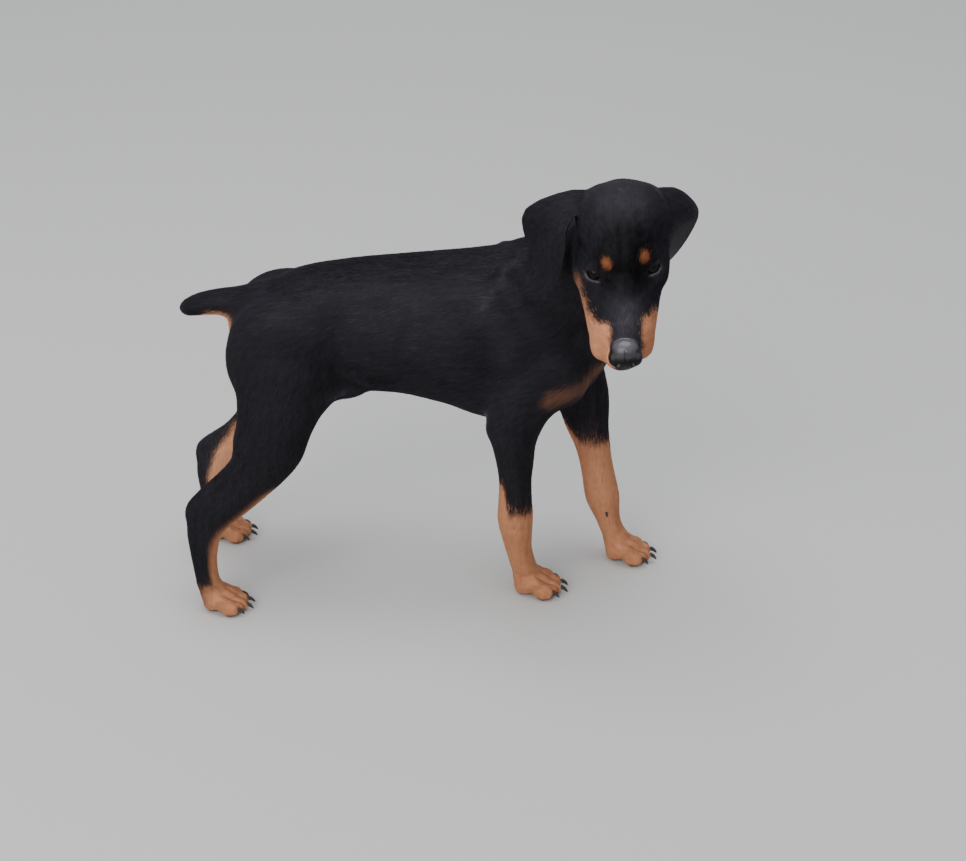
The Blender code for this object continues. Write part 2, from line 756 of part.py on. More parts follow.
def fuse(pieces, voxel, rounds, share):
    """Makes one skin of overlapping masses, then relaxes it by each point's own share."""
    body = join("body", pieces)
    blend = body.modifiers.new("blend", "REMESH")
    blend.mode = "VOXEL"
    blend.voxel_size = voxel
    blend.adaptivity = 0.0
    apply_modifiers(body)
    shares = body.vertex_groups.new(name="soft")
    for vert in body.data.vertices:
        shares.add([vert.index], share(vert.co), "REPLACE")
    relax = body.modifiers.new("relax", "SMOOTH")
    relax.factor = 0.5
    relax.iterations = rounds
    relax.vertex_group = "soft"
    apply_modifiers(body)
    body.vertex_groups.clear()
    return body


def thin_out(obj, triangles):
    """Collapses edges where the surface is flattest, down to about this many triangles."""
    share = triangles / (2 * len(obj.data.polygons))
    fewer = obj.modifiers.new("fewer", "DECIMATE")
    fewer.ratio = min(1.0, share)
    apply_modifiers(obj)


def part_off(body, name, look, inner, outer):
    """Moves what lies inside the inner cutter into a node of its own, and frees the outer's space."""
    node = copy_of(body, name)
    boolean(node, inner, "INTERSECT")
    boolean(body, outer, "DIFFERENCE")
    keep_largest(node)
    keep_largest(body)
    return finish(node, name, look)


def finish(obj, name, look):
    obj.name = name
    obj.data.name = name
    obj.data.materials.clear()
    obj.data.materials.append(look)
    for polygon in obj.data.polygons:
        polygon.material_index = 0
        polygon.use_smooth = False
    return obj


def slab(point, normal_turn, size, frame=None, grow=0.0):
    """A box whose near face passes through the point and looks along its own -X."""
    turned = Euler([math.radians(a) for a in normal_turn]).to_matrix()
    centre = Vector(point) + turned @ Vector((size[0] / 2, 0, 0))
    return box(centre, size, normal_turn, grow, frame)


def side_box(x, y, z, grow):
    """A box from lowest to highest along each axis, each given as a pair."""
    centre = [(a + b) / 2 for a, b in (x, y, z)]
    return box(centre, [abs(b - a) for a, b in (x, y, z)], grow=grow)


def grown(obj, amount):
    """A copy that stands off this surface by the amount, used to trim what lies against it."""
    made = copy_of(obj, "grown")
    push = made.modifiers.new("push", "DISPLACE")
    push.strength = amount
    push.mid_level = 0.0
    apply_modifiers(made)
    return made


# half the breadth of the keel of the chest, which stays with the torso between the elbows
KEEL_HALF = 0.019


def part_legs(body, coat, rust):
    """Each leg, cut across at its joints, from the paw up."""
    nodes = []
    half = GAP / 2
    for name, rows, side in (("right", FORE_RIGHT, -1), ("left", FORE_LEFT, 1)):
        x = (rows[7][0] - 0.09, rows[7][0] + 0.09)
        for part, look, low, high in (("fore_paw", rust, -0.02, 0.040),
                                      ("fore_pastern", rust, 0.02, 0.092),
                                      ("forearm", coat, 0.08, 0.214)):
            y = (side * (KEEL_HALF if part == "forearm" else -0.004), side * 0.12)
            nodes.append(part_off(body, f"{part}_{name}", look,
                                  side_box(x, y, (low, high), -half),
                                  side_box(x, y, (low, high), half)))
    for name, side in (("right", -1), ("left", 1)):
        x = (-0.30, -0.085)
        y = (0.0, side * 0.13)
        for part, look, low, high in (("hind_paw", rust, -0.02, 0.036),
                                      ("hind_pastern", coat, 0.02, 0.100),
                                      ("shank", coat, 0.08, 0.190)):
            nodes.append(part_off(body, f"{part}_{name}", look,
                                  side_box(x, y, (low, high), -half),
                                  side_box(x, y, (low, high), half)))
        thigh = dict(point=(-0.172, side * 0.012, 0.235), normal_turn=(0, 0, side * 90),
                     size=(0.15, 0.165, 0.14))
        nodes.append(part_off(body, f"thigh_{name}", coat, slab(**thigh, grow=-half),
                              slab(**thigh, grow=half)))
    return nodes


def centre_on_base(objects):
    """Moves everything so that the origin is the middle of the foot of the bounding box."""
    corners = np.array([v.co for obj in objects for v in obj.data.vertices])
    low, high = corners.min(axis=0), corners.max(axis=0)
    shift = Matrix.Translation((-(low[0] + high[0]) / 2, -(low[1] + high[1]) / 2, -low[2]))
    for obj in objects:
        obj.data.transform(shift)
    print("shift", [round(v, 5) for v in shift.translation])


def main():
    clear_scene()
    coat = material("black_coat", BLACK_COAT)
    rust = material("rust_coat", RUST_COAT)
    leather = material("nose_leather", NOSE_LEATHER)
    iris = material("eye_brown", EYE_BROWN)
    horn = material("claw_horn", CLAW_HORN)
    frame = head_frame()
    pieces = trunk() + neck() + tail() + head_masses(frame)
    for rows, side in ((FORE_RIGHT, -1), (FORE_LEFT, 1)):
        pieces.append(loft(rows, front=(1, 0, 0), steps=4, ring=24))
        pieces += shoulder(side, rows[3][0] - FORE_RIGHT[3][0])
    for rows, side in ((HIND_RIGHT, -1), (hind_left_rows(), 1)):
        pieces.append(loft(rows, front=(1, 0, 0), steps=4, ring=24))
        pieces += haunch(side, 0.0 if side < 0 else HIND_LEFT_SHIFT * 0.2)
        pieces += heel(rows, side)
    pieces += flank_folds()
    for x, y, heading, size, ankle in PAWS.values():
        pieces += paw(paw_frame(x, y, heading, size), ankle[:3])
    pieces += [lids(frame, side) for side in (-1, 1)]
    body = fuse(pieces, VOXEL, SMOOTH_ROUNDS, softness)
    thin_out(body, BODY_TRIANGLES)
    boolean(body, box((0, 0, -0.05), (1.0, 1.0, 0.1)), "DIFFERENCE")
    for side in (-1, 1):
        open_eye(body, frame, side)
    mouth_groove(body, frame)
    snout = nose(frame)
    boolean(body, grown(snout, GAP), "DIFFERENCE")
    keep_largest(body)
    stand_off = grown(body, GAP)
    nodes = [finish(keep_largest(snout), "nose", leather)]
    for edges, name in ((EAR_RIGHT, "ear_right"), (EAR_LEFT, "ear_left")):
        made = boolean(ear(edges), stand_off, "DIFFERENCE", keep_other=True)
        nodes.append(finish(keep_largest(made), name, coat))
    for name, made in claws().items():
        boolean(made, stand_off, "DIFFERENCE", keep_other=True)
        nodes.append(finish(keep_largest(made), name, horn))
    remove(stand_off)
    for side, name in ((-1, "eye_right"), (1, "eye_left")):
        nodes.append(finish(eyeball(name, frame, side), name, iris))
    nodes.append(part_off(body, "lower_jaw", rust, jaw_prism(frame, GAP), jaw_prism(frame, 0.0)))
    half = GAP / 2
    cuts = {
        "head": dict(point=(-0.042, 0, 0.0085), normal_turn=(0, 0, 0), size=(0.20, 0.13, 0.131),
                     frame=frame),
        "neck": dict(point=(0.137, 0, 0.365), normal_turn=(0, -50.5, 0), size=(0.20, 0.26, 0.20)),
        "tail": dict(point=(-0.212, 0, 0.345), normal_turn=(0, 0, 180), size=(0.10, 0.06, 0.045)),
    }
    for name, cut in cuts.items():
        nodes.append(part_off(body, name, coat, slab(**cut, grow=-half), slab(**cut, grow=half)))
    nodes += part_legs(body, coat, rust)
    nodes.append(finish(body, "torso", coat))
    centre_on_base(nodes)


main()
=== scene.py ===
import math

import bpy
import numpy as np
from mathutils import Matrix, Vector
from mathutils.bvhtree import BVHTree
from mathutils.kdtree import KDTree


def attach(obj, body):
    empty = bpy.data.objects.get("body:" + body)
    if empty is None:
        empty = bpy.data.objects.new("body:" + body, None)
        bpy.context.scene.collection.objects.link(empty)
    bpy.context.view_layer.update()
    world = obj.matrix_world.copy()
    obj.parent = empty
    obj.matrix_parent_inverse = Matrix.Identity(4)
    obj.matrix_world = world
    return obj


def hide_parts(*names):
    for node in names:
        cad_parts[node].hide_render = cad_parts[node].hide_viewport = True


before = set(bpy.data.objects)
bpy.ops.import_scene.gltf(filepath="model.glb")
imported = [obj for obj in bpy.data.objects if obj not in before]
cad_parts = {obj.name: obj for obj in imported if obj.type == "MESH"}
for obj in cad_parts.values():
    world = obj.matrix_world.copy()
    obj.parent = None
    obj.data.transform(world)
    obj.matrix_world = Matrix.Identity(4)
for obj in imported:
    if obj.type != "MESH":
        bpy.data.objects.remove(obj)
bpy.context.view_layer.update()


# The photograph's view: a hand-held camera a little over two metres off, looking thirty degrees
# down on the dog's right side, with the puppy turning its head to look straight up at it.
PHOTO_SIZE = (966, 861)
FOCAL_PIXELS = 1980.0
CAMERA_PITCH = 30.0
CAMERA_DISTANCE = 2.2
CAMERA_TARGET = Vector((0.05559, 0.06431, 0.17))
SENSOR_WIDTH = 36.0

camera_data = bpy.data.cameras.new("camera")
camera_data.sensor_fit = "HORIZONTAL"
camera_data.sensor_width = SENSOR_WIDTH
camera_data.lens = SENSOR_WIDTH * FOCAL_PIXELS / PHOTO_SIZE[0]
camera = bpy.data.objects.new("camera", camera_data)
pitch = math.radians(CAMERA_PITCH)
looking = Vector((0.0, math.cos(pitch), -math.sin(pitch)))
camera.location = CAMERA_TARGET - looking * CAMERA_DISTANCE
camera.rotation_euler = (math.radians(90.0 - CAMERA_PITCH), 0.0, 0.0)
bpy.context.scene.collection.objects.link(camera)
bpy.context.scene.camera = camera


# The studio: a plain pale floor under a large soft light overhead, as flat as an overcast sky,
# with a second one in front and to the left so that the black coat keeps its form.
FLOOR_COLOUR = (0.60, 0.59, 0.57, 1.0)
FLOOR_SIZE = 14.0
FLOOR_DROP = 0.0002
AIR_COLOUR = (0.90, 0.94, 1.0, 1.0)
AIR_STRENGTH = 0.62
LIGHTS = (
    # name, place, aim, size, watts, colour
    ("overhead", (-0.2, 0.2, 4.2), (0.0, 0.05, 0.2), 3.4, 105.0, (0.95, 0.97, 1.0)),
    ("front", (-1.5, -2.6, 2.1), (0.0, 0.0, 0.25), 3.0, 76.0, (1.0, 0.98, 0.96)),
)


def select_none():
    for chosen in bpy.context.selected_objects:
        chosen.select_set(False)


def new_look(name):
    """A new material, with its node tree and its Principled shader."""
    look = bpy.data.materials.new(name)
    look.use_nodes = True
    return look, look.node_tree, look.node_tree.nodes["Principled BSDF"]


def set_inputs(node, values):
    for name, value in values.items():
        node.inputs[name].default_value = value


def wire(tree, *links):
    """Each link is a node and its output, then the node it feeds and that one's input."""
    for source, output, target, socket in links:
        tree.links.new(source.outputs[output], target.inputs[socket])


select_none()
bpy.ops.mesh.primitive_plane_add(size=FLOOR_SIZE, location=(0.0, 0.0, -FLOOR_DROP))
floor = bpy.context.object
floor.name = "floor"
floor_look, _, shader = new_look("floor_matt")
set_inputs(shader, {"Base Color": FLOOR_COLOUR, "Roughness": 0.85})
floor.data.materials.append(floor_look)

world = bpy.data.worlds.new("studio_air")
world.use_nodes = True
set_inputs(world.node_tree.nodes["Background"], {"Color": AIR_COLOUR, "Strength": AIR_STRENGTH})
bpy.context.scene.world = world


def soft_light(name, place, aim, size, watts, colour):
    data = bpy.data.lights.new(name, "AREA")
    data.shape = "DISK"
    data.size = size
    data.energy = watts
    data.color = colour
    light = bpy.data.objects.new(name, data)
    light.location = place
    light.rotation_euler = (Vector(aim) - Vector(place)).to_track_quat("-Z", "Y").to_euler()
    bpy.context.scene.collection.objects.link(light)


for row in LIGHTS:
    soft_light(*row)


# The hide: one skin without a seam from nose to tail, close over muscle and bone, with the flaps
# of the ears, the lids and the lips in it. It is grown from the solids of the flesh, fused and
# smoothed as far as each place is soft, and lies under them by the depth of the short coat.
SIDES = ("right", "left")
LIMB_PARTS = ("forearm", "fore_pastern", "fore_paw", "thigh", "shank", "hind_pastern", "hind_paw")
FLESH = ["torso", "neck", "head", "lower_jaw", "tail", "ear_right", "ear_left"]
FLESH += [f"{part}_{side}" for part in LIMB_PARTS for side in SIDES]
SKIN_VOXEL = 0.0012
SKIN_TRIANGLES = 188000
# how far the solids are grown to close the cuts between them
FUSE_GROW = 0.00045
# loose triangles closer than this are joined at their corners
WELD = 0.000012
SMOOTH_ROUNDS = 60
BLEND_ROUNDS = 12
# how soft each part is, and how deep its coat lies
SOFTNESS = {"torso": 1.0, "neck": 0.9, "tail": 0.5, "forearm": 0.55, "thigh": 0.8, "shank": 0.55,
            "fore_pastern": 0.35, "hind_pastern": 0.35, "fore_paw": 0.10, "hind_paw": 0.10,
            "head": 0.09, "lower_jaw": 0.09, "ear": 0.16}
COAT_DEPTH = {"torso": 0.0012, "neck": 0.0012, "tail": 0.0010, "forearm": 0.0010, "thigh": 0.0011,
              "shank": 0.0009, "fore_pastern": 0.0008, "hind_pastern": 0.0008, "fore_paw": 0.0005,
              "hind_paw": 0.0005, "head": 0.0007, "lower_jaw": 0.0005, "ear": 0.0005}


def part_of(node):
    name = node
    for side in SIDES:
        name = name.replace("_" + side, "")
    return name


def points_of(mesh):
    co = np.empty(len(mesh.vertices) * 3, np.float32)
    mesh.vertices.foreach_get("co", co)
    return co.reshape(-1, 3).astype(float)


def normals_of(mesh):
    out = np.empty(len(mesh.vertices) * 3, np.float32)
    mesh.vertex_normals.foreach_get("vector", out)
    return out.reshape(-1, 3).astype(float)


def edges_of(mesh):
    out = np.empty(len(mesh.edges) * 2, np.int32)
    mesh.edges.foreach_get("vertices", out)
    return out.reshape(-1, 2)


def place_points(mesh, co):
    mesh.vertices.foreach_set("co", co.astype(np.float32).ravel())
    mesh.update()


def spread(values, edges, weights, rounds):
    """Each round moves every value towards the mean of its neighbours', by the weight there."""
    values = np.array(values, float)
    count = np.bincount(edges.ravel(), minlength=len(values)).clip(1)
    for _ in range(rounds):
        for axis in range(values.shape[1]):
            column = values[:, axis]
            total = np.bincount(edges[:, 0], column[edges[:, 1]], len(values))
            total += np.bincount(edges[:, 1], column[edges[:, 0]], len(values))
            values[:, axis] = column + weights * (total / count - column)
    return values


def smoothstep(low, high, x):
    t = np.clip((x - low) / (high - low), 0.0, 1.0)
    return t * t * (3.0 - 2.0 * t)


def apply_modifier(piece, kind, **settings):
    modifier = piece.modifiers.new(kind.lower(), kind)
    for key, value in settings.items():
        setattr(modifier, key, value)
    with bpy.context.temp_override(object=piece, active_object=piece):
        bpy.ops.object.modifier_apply(modifier=modifier.name)


def joined_copy(name, nodes):
    """The nodes' solids as one new mesh, with the loose triangles of each merged."""
    select_none()
    copies = []
    for node in nodes:
        copy = bpy.data.objects.new(name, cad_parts[node].data.copy())
        copy.data.materials.clear()
        bpy.context.scene.collection.objects.link(copy)
        copy.select_set(True)
        copies.append(copy)
    bpy.context.view_layer.objects.active = copies[0]
    if len(copies) > 1:
        bpy.ops.object.join()
    piece = bpy.context.view_layer.objects.active
    piece.name = name
    bpy.ops.object.mode_set(mode="EDIT")
    bpy.ops.mesh.select_all(action="SELECT")
    bpy.ops.mesh.remove_doubles(threshold=WELD)
    bpy.ops.object.mode_set(mode="OBJECT")
    piece.select_set(False)
    return piece


node_tree_points = []
node_of_point = []
for index, node in enumerate(FLESH):
    corners = points_of(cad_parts[node].data)
    node_tree_points.append(corners)
    node_of_point += [index] * len(corners)
node_tree_points = np.concatenate(node_tree_points)
nearest_part = KDTree(len(node_tree_points))
for index, point in enumerate(node_tree_points):
    nearest_part.insert(point, index)
nearest_part.balance()


def parts_at(points):
    """The place in FLESH of the solid that lies nearest each point."""
    return np.array([node_of_point[nearest_part.find(p)[1]] for p in points])


def by_part(table, parts):
    """The table's value for the part of the body that each point belongs to."""
    return np.array([table[part_of(node)] for node in FLESH])[parts]


# the head's own axes: X to the nose, Y to its left, Z to the crown
HEAD_PLACE = Vector((0.19609, -0.03569, 0.448))
HEAD_YAW, HEAD_PITCH, HEAD_ROLL = -90.5, 32.0, 5.5
head_frame = (Matrix.Translation(HEAD_PLACE) @ Matrix.Rotation(math.radians(HEAD_YAW), 4, "Z")
              @ Matrix.Rotation(math.radians(HEAD_PITCH), 4, "Y")
              @ Matrix.Rotation(math.radians(HEAD_ROLL), 4, "X"))
into_head = np.array(head_frame.inverted())
out_of_head = np.array(head_frame)
EYE_RADIUS = 0.0098
EYE_CENTRES = {"right": Vector((0.0374, -0.0277, 0.0025)),
               "left": Vector((0.0338, 0.0247, 0.0035))}
# how far the hide stays off the eyeballs, and how far it sinks beneath the nose leather
CLOSE_FIT = 0.0003
NOSE_SINK = 0.0009
# the nose lies in front of this, and within this of the middle
NOSE_BACK = 0.095
NOSE_HALF = 0.03


def in_head(points):
    return points @ into_head[:3, :3].T + into_head[:3, 3]


def surface_tree(mesh):
    corners = [v.co for v in mesh.vertices]
    return BVHTree.FromPolygons(corners, [tuple(p.vertices) for p in mesh.polygons])


def near_eye(points, reach=0.0050, full=0.0020):
    """1 where the hide closes round an eyeball, 0 away from it."""
    local = in_head(points)
    close = np.zeros(len(points))
    for centre in EYE_CENTRES.values():
        away = np.linalg.norm(local - np.array(centre), axis=1) - EYE_RADIUS
        close = np.maximum(close, smoothstep(reach, full, away))
    return close


def under_nose(points, reach=0.0010):
    """1 where the hide runs on beneath the nose leather."""
    local = in_head(points)
    covered = np.zeros(len(points))
    for index in np.nonzero((local[:, 0] > NOSE_BACK) & (np.abs(local[:, 1]) < NOSE_HALF))[0]:
        covered[index] = nose_surface.find_nearest(points[index])[3] < reach
    return covered


# forms of the head that the solids leave plain: centre and radii in the head's axes, and how far
# each raises the hide
HEAD_FORMS = (
    ((0.030, -0.0012, 0.038), (0.034, 0.0040, 0.020), -0.0011),
    ((0.056, -0.0012, 0.010), (0.012, 0.0120, 0.012), -0.0013),
    ((0.040, -0.0200, 0.0210), (0.008, 0.0100, 0.008), 0.0013),
    ((0.036, 0.0215, 0.0240), (0.008, 0.0100, 0.008), 0.0013),
    ((0.050, -0.0200, -0.0040), (0.008, 0.0080, 0.009), -0.0008),
    ((0.046, 0.0190, -0.0020), (0.008, 0.0080, 0.009), -0.0008),
    ((0.014, -0.0400, 0.0180), (0.016, 0.0120, 0.013), -0.0014),
    ((0.012, 0.0390, 0.0200), (0.016, 0.0120, 0.013), -0.0014),
    ((0.098, -0.0250, -0.0300), (0.014, 0.0080, 0.010), 0.0008),
    ((0.098, 0.0220, -0.0300), (0.014, 0.0080, 0.010), 0.0008),
)


def head_relief(points):
    local = in_head(points)
    rise = np.zeros(len(points))
    for centre, radii, height in HEAD_FORMS:
        rise += height * np.exp(-(((local - np.array(centre)) / np.array(radii)) ** 2).sum(1))
    return rise


def line_distance(points, start, end):
    start, end = np.array(start), np.array(end)
    along = ((points - start) @ (end - start) / ((end - start) @ (end - start))).clip(0.0, 1.0)
    return np.linalg.norm(points - start - along[:, None] * (end - start), axis=1)


# the trunk's middle plane, and folds and hollows of its loose hide on both sides of it: two ends
# of a line, its breadth and its height
MIDDLE = 0.0443
BODY_FORMS = (
    ((0.099, 0.032, 0.405), (0.078, 0.008, 0.391), 0.0060, 0.0018),
    ((0.078, 0.008, 0.391), (0.049, -0.013, 0.335), 0.0070, 0.0014),
    ((0.076, -0.007, 0.360), (0.092, -0.011, 0.336), 0.0110, -0.0024),
    ((0.050, -0.015, 0.322), (0.060, -0.015, 0.285), 0.0120, -0.0024),
    ((0.086, -0.014, 0.312), (0.086, -0.014, 0.296), 0.0150, 0.0020),
    ((-0.094, 0.003, 0.277), (-0.070, 0.008, 0.262), 0.0060, 0.0020),
    ((-0.070, 0.008, 0.262), (-0.049, 0.017, 0.247), 0.0060, 0.0016),
    ((-0.112, -0.010, 0.310), (-0.112, -0.016, 0.268), 0.0090, -0.0018),
    ((-0.010, -0.006, 0.345), (-0.026, -0.006, 0.295), 0.0080, 0.0008),
    ((-0.034, -0.006, 0.345), (-0.048, -0.004, 0.290), 0.0080, 0.0008),
    ((0.150, -0.062, 0.375), (0.130, -0.026, 0.330), 0.0080, 0.0014),
)


def body_relief(points):
    rise = np.zeros(len(points))
    mirrored = points * (1.0, -1.0, 1.0) + (0.0, 2.0 * MIDDLE, 0.0)
    for start, end, breadth, height in BODY_FORMS:
        for side_points in (points, mirrored):
            rise += height * np.exp(-(line_distance(side_points, start, end) / breadth) ** 2)
    return rise


# where each paw stands, the way it points in degrees and its size
PAW_PLACES = ((0.1086, -0.0007, -3.0, 1.05), (0.2146, 0.0673, -6.0, 1.02),
              (-0.2374, -0.0337, -2.0, 0.98), (-0.2484, 0.1123, 2.0, 0.98))
PAW_HEIGHT = 0.035
TOE_LINES = (0.0, -0.01125, 0.01125)
TOE_GROOVE = 0.0013
TOE_CLEFT = 0.0011


def between_toes(points):
    """1 along the clefts between the toes, 0 away from them."""
    cleft = np.zeros(len(points))
    low = points[:, 2] < PAW_HEIGHT
    for x, y, heading, size in PAW_PLACES:
        turn = math.radians(heading)
        out_x, out_y = points[:, 0] - x, points[:, 1] - y
        forward = (out_x * math.cos(turn) + out_y * math.sin(turn)) / size
        across = (-out_x * math.sin(turn) + out_y * math.cos(turn)) / size
        here = low & (forward > 0.0) & (forward < 0.05) & (np.abs(across) < 0.03)
        for line in TOE_LINES:
            curve = line * (1.0 - 9.0 * (forward - 0.014).clip(-0.012, 0.012))
            mark = np.exp(-((across - curve) / TOE_CLEFT) ** 2) * smoothstep(0.004, 0.012, forward)
            cleft = np.maximum(cleft, np.where(here, mark, 0.0))
    return cleft


def lids_on_eyes(points):
    """Draws the edge of the hide round each eye in on to the ball, as lids lie."""
    local = in_head(points)
    for centre in EYE_CENTRES.values():
        out = local - np.array(centre)
        away = np.linalg.norm(out, axis=1)
        gap = away - EYE_RADIUS
        rest = np.where(gap < 0.0016, 0.00012 + 0.10 * gap.clip(0.0), gap - 0.00135)
        blend = smoothstep(0.0060, 0.0020, gap)
        moved = EYE_RADIUS + rest * blend + gap * (1.0 - blend)
        drawn = np.array(centre) + out * (moved / away)[:, None]
        local = np.where((gap > -0.0008)[:, None], drawn, local)
    return local @ out_of_head[:3, :3].T + out_of_head[:3, 3]


nose_surface = surface_tree(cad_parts["nose"].data)
skin = joined_copy("skin", FLESH + ["nose"])
apply_modifier(skin, "DISPLACE", strength=FUSE_GROW, mid_level=0.0)
apply_modifier(skin, "REMESH", mode="VOXEL", voxel_size=SKIN_VOXEL)
co = points_of(skin.data)
edges = edges_of(skin.data)
parts = parts_at(co)
evenly = np.full(len(co), 0.5)
soft = spread(by_part(SOFTNESS, parts)[:, None], edges, evenly, BLEND_ROUNDS)[:, 0]
on_floor = smoothstep(0.0022, 0.0005, co[:, 2])
co = spread(co, edges, 0.5 * soft * (1.0 - on_floor), SMOOTH_ROUNDS)
place_points(skin.data, co)
depth = spread(by_part(COAT_DEPTH, parts)[:, None], edges, evenly, BLEND_ROUNDS)[:, 0]
snug = near_eye(co)
depth = (depth + FUSE_GROW) * (1.0 - on_floor) + FUSE_GROW * on_floor
depth = depth * (1.0 - snug) + (FUSE_GROW - CLOSE_FIT) * snug
covered = spread(under_nose(co, NOSE_SINK)[:, None], edges, evenly, 2)[:, 0]
depth = depth * (1.0 - covered) + (FUSE_GROW + NOSE_SINK) * covered
on_head = spread((parts == FLESH.index("head"))[:, None], edges, evenly, 6)[:, 0]
relief = head_relief(co) * on_head + body_relief(co) * (1.0 - on_head)
relief -= TOE_GROOVE * between_toes(co) * smoothstep(0.0010, 0.0040, co[:, 2])
co = co + normals_of(skin.data) * (relief - depth)[:, None]
co = lids_on_eyes(co)
co[:, 2] = np.maximum(co[:, 2], 0.0001)


# The mouth: the lips meet along a line that drops from the nose, runs back and turns down at the
# corner, and the flews hang a little over it.
MOUTH_LINE = np.array(((0.040, -0.0405), (0.046, -0.0440), (0.060, -0.0475), (0.078, -0.0490),
                       (0.096, -0.0475), (0.112, -0.0445)))
MOUTH_FRONT = 0.116
MOUTH_DEPTH = 0.0011
MOUTH_WIDTH = 0.0013
HEAD_PARTS = (FLESH.index("head"), FLESH.index("lower_jaw"))


def mouth_distance(local):
    """How far each point on the side of the muzzle is from the line of the lips."""
    height = np.interp(local[:, 0], MOUTH_LINE[:, 0], MOUTH_LINE[:, 1])
    past = np.maximum(MOUTH_LINE[0, 0] - local[:, 0], 0.0)
    past += np.maximum(local[:, 0] - MOUTH_FRONT, 0.0)
    return np.hypot(local[:, 2] - height, past)


near_mouth = np.exp(-(mouth_distance(in_head(co)) / MOUTH_WIDTH) ** 2)
near_mouth *= np.isin(parts, HEAD_PARTS)
place_points(skin.data, co)
co = co - normals_of(skin.data) * (MOUTH_DEPTH * near_mouth)[:, None]
place_points(skin.data, co)

# the hide keeps its finest triangles on the face, then the jaw, then the paws
fine_group = skin.vertex_groups.new(name="fine")
on_face = np.exp(-((in_head(co)[:, 0] - 0.06) / 0.075) ** 4) * (parts == FLESH.index("head"))
on_face = np.maximum(on_face, (parts == FLESH.index("lower_jaw")) * 0.8)
on_paw = np.isin(parts, [FLESH.index(n) for n in FLESH if "paw" in n]) * 0.6
keep = np.maximum(on_face, on_paw)
for level in (0.6, 0.8, 1.0):
    chosen = np.nonzero((keep > level - 0.2) & (keep <= level + 0.001))[0]
    fine_group.add(chosen.tolist(), level, "REPLACE")
have = sum(len(p.vertices) - 2 for p in skin.data.polygons)
if have > SKIN_TRIANGLES:
    apply_modifier(skin, "DECIMATE", ratio=SKIN_TRIANGLES / have, vertex_group="fine",
                   invert_vertex_group=True, vertex_group_factor=0.6, use_collapse_triangulate=True)
else:
    apply_modifier(skin, "TRIANGULATE")
select_none()
skin.select_set(True)
bpy.context.view_layer.objects.active = skin
bpy.ops.object.shade_smooth()
bpy.ops.object.mode_set(mode="EDIT")
bpy.ops.mesh.select_all(action="SELECT")
bpy.ops.uv.smart_project(angle_limit=math.radians(75.0), island_margin=0.0012)
bpy.ops.object.mode_set(mode="OBJECT")
skin.data.uv_layers[0].name = "OFBake"
skin.select_set(False)


# The markings: rust over each eye, on the muzzle, cheeks and throat, the forechest, the legs and
# feet and under the tail, with soft edges where rust and black hairs mix. Skin and coat read them
# from one set of named places, each a soft form in the dog's frame or in the head's.
EDGE = 0.004
BROW_SPOTS = ((0.0431, -0.0169, 0.0217), (0.0393, 0.0202, 0.0244))
BROW_SPOT_RADII = (0.0068, 0.0046, 0.0062)
MIDLINE = -0.0012
# how far the black reaches out from the middle of the face, from the cheeks to the nose
BLACK_RIGHT = np.array(((0.026, 0.0520), (0.037, 0.0454), (0.049, 0.0421), (0.056, 0.0395),
                        (0.070, 0.0353), (0.080, 0.0310), (0.0875, 0.0285), (0.0910, 0.0180),
                        (0.095, 0.0160), (0.130, 0.0160)))
BLACK_LEFT = np.array(((0.026, 0.0520), (0.060, 0.0400), (0.0734, 0.0298), (0.0836, 0.0225),
                       (0.0875, 0.0176), (0.0953, 0.0160), (0.130, 0.0160)))
# where rust ends going up each leg, and where the black stops behind the far hock
FORE_LINE = 0.112
NEAR_HIND_LINE = 0.150
FAR_HIND_LINE = 0.166
HOCK_HEIGHTS = (0.034, 0.060, 0.092, 0.129, 0.162)
HOCK_BACKS = (-0.275, -0.262, -0.2590, -0.2460, -0.2235)
# under the tail: centre and radii; on the forechest: two ends of a band each
TAIL_PATCH = (-0.222, 0.040, 0.302), (0.026, 0.028, 0.034)
NEAR_BAND = (0.131, -0.016, 0.254), (0.188, 0.022, 0.274)
FAR_BAND = (0.176, 0.092, 0.250), (0.203, 0.062, 0.268)
BAND_RADIUS = 0.0075
# how strong the rust is over the eyes, on the forechest and under the tail
BROW_RUST, CHEST_RUST, TAIL_RUST = 0.62, 0.21, 0.9
skin_co = points_of(skin.data)
skin_normals = normals_of(skin.data)
skin_edges = edges_of(skin.data)
skin_parts = parts_at(skin_co)


def ripple(points, size, seed=0.0):
    """A smooth value from -1 to 1 that wanders over the given size."""
    p = points * (2.0 * math.pi / size)
    a = np.sin(p[:, 0] + 1.7 * np.sin(p[:, 1] * 0.8 + seed) + seed)
    b = np.sin(p[:, 1] * 1.1 + 1.3 * np.sin(p[:, 2] * 0.9 + 2.0 * seed) + 1.0)
    c = np.sin(p[:, 2] * 1.2 + 1.5 * np.sin(p[:, 0] * 0.7 - seed) + 2.0)
    return (a + b + c) / 3.0


def soft_ball(points, centre, radii):
    """1 inside a ball or ellipsoid, 0 outside, soft over EDGE."""
    reach = np.linalg.norm((points - np.array(centre)) / np.array(radii), axis=1)
    size = float(np.mean(np.array(radii)))
    return smoothstep(size + EDGE * 0.5, size - EDGE * 0.5, reach * size)


def soft_band(points, start, end, radius):
    """1 along the line from start to end, out to the radius, soft beyond it."""
    return smoothstep(radius + 2.0 * EDGE, radius - EDGE, line_distance(points, start, end))


def under(value, limit, edge=EDGE):
    return smoothstep(limit + edge, limit - edge, value)


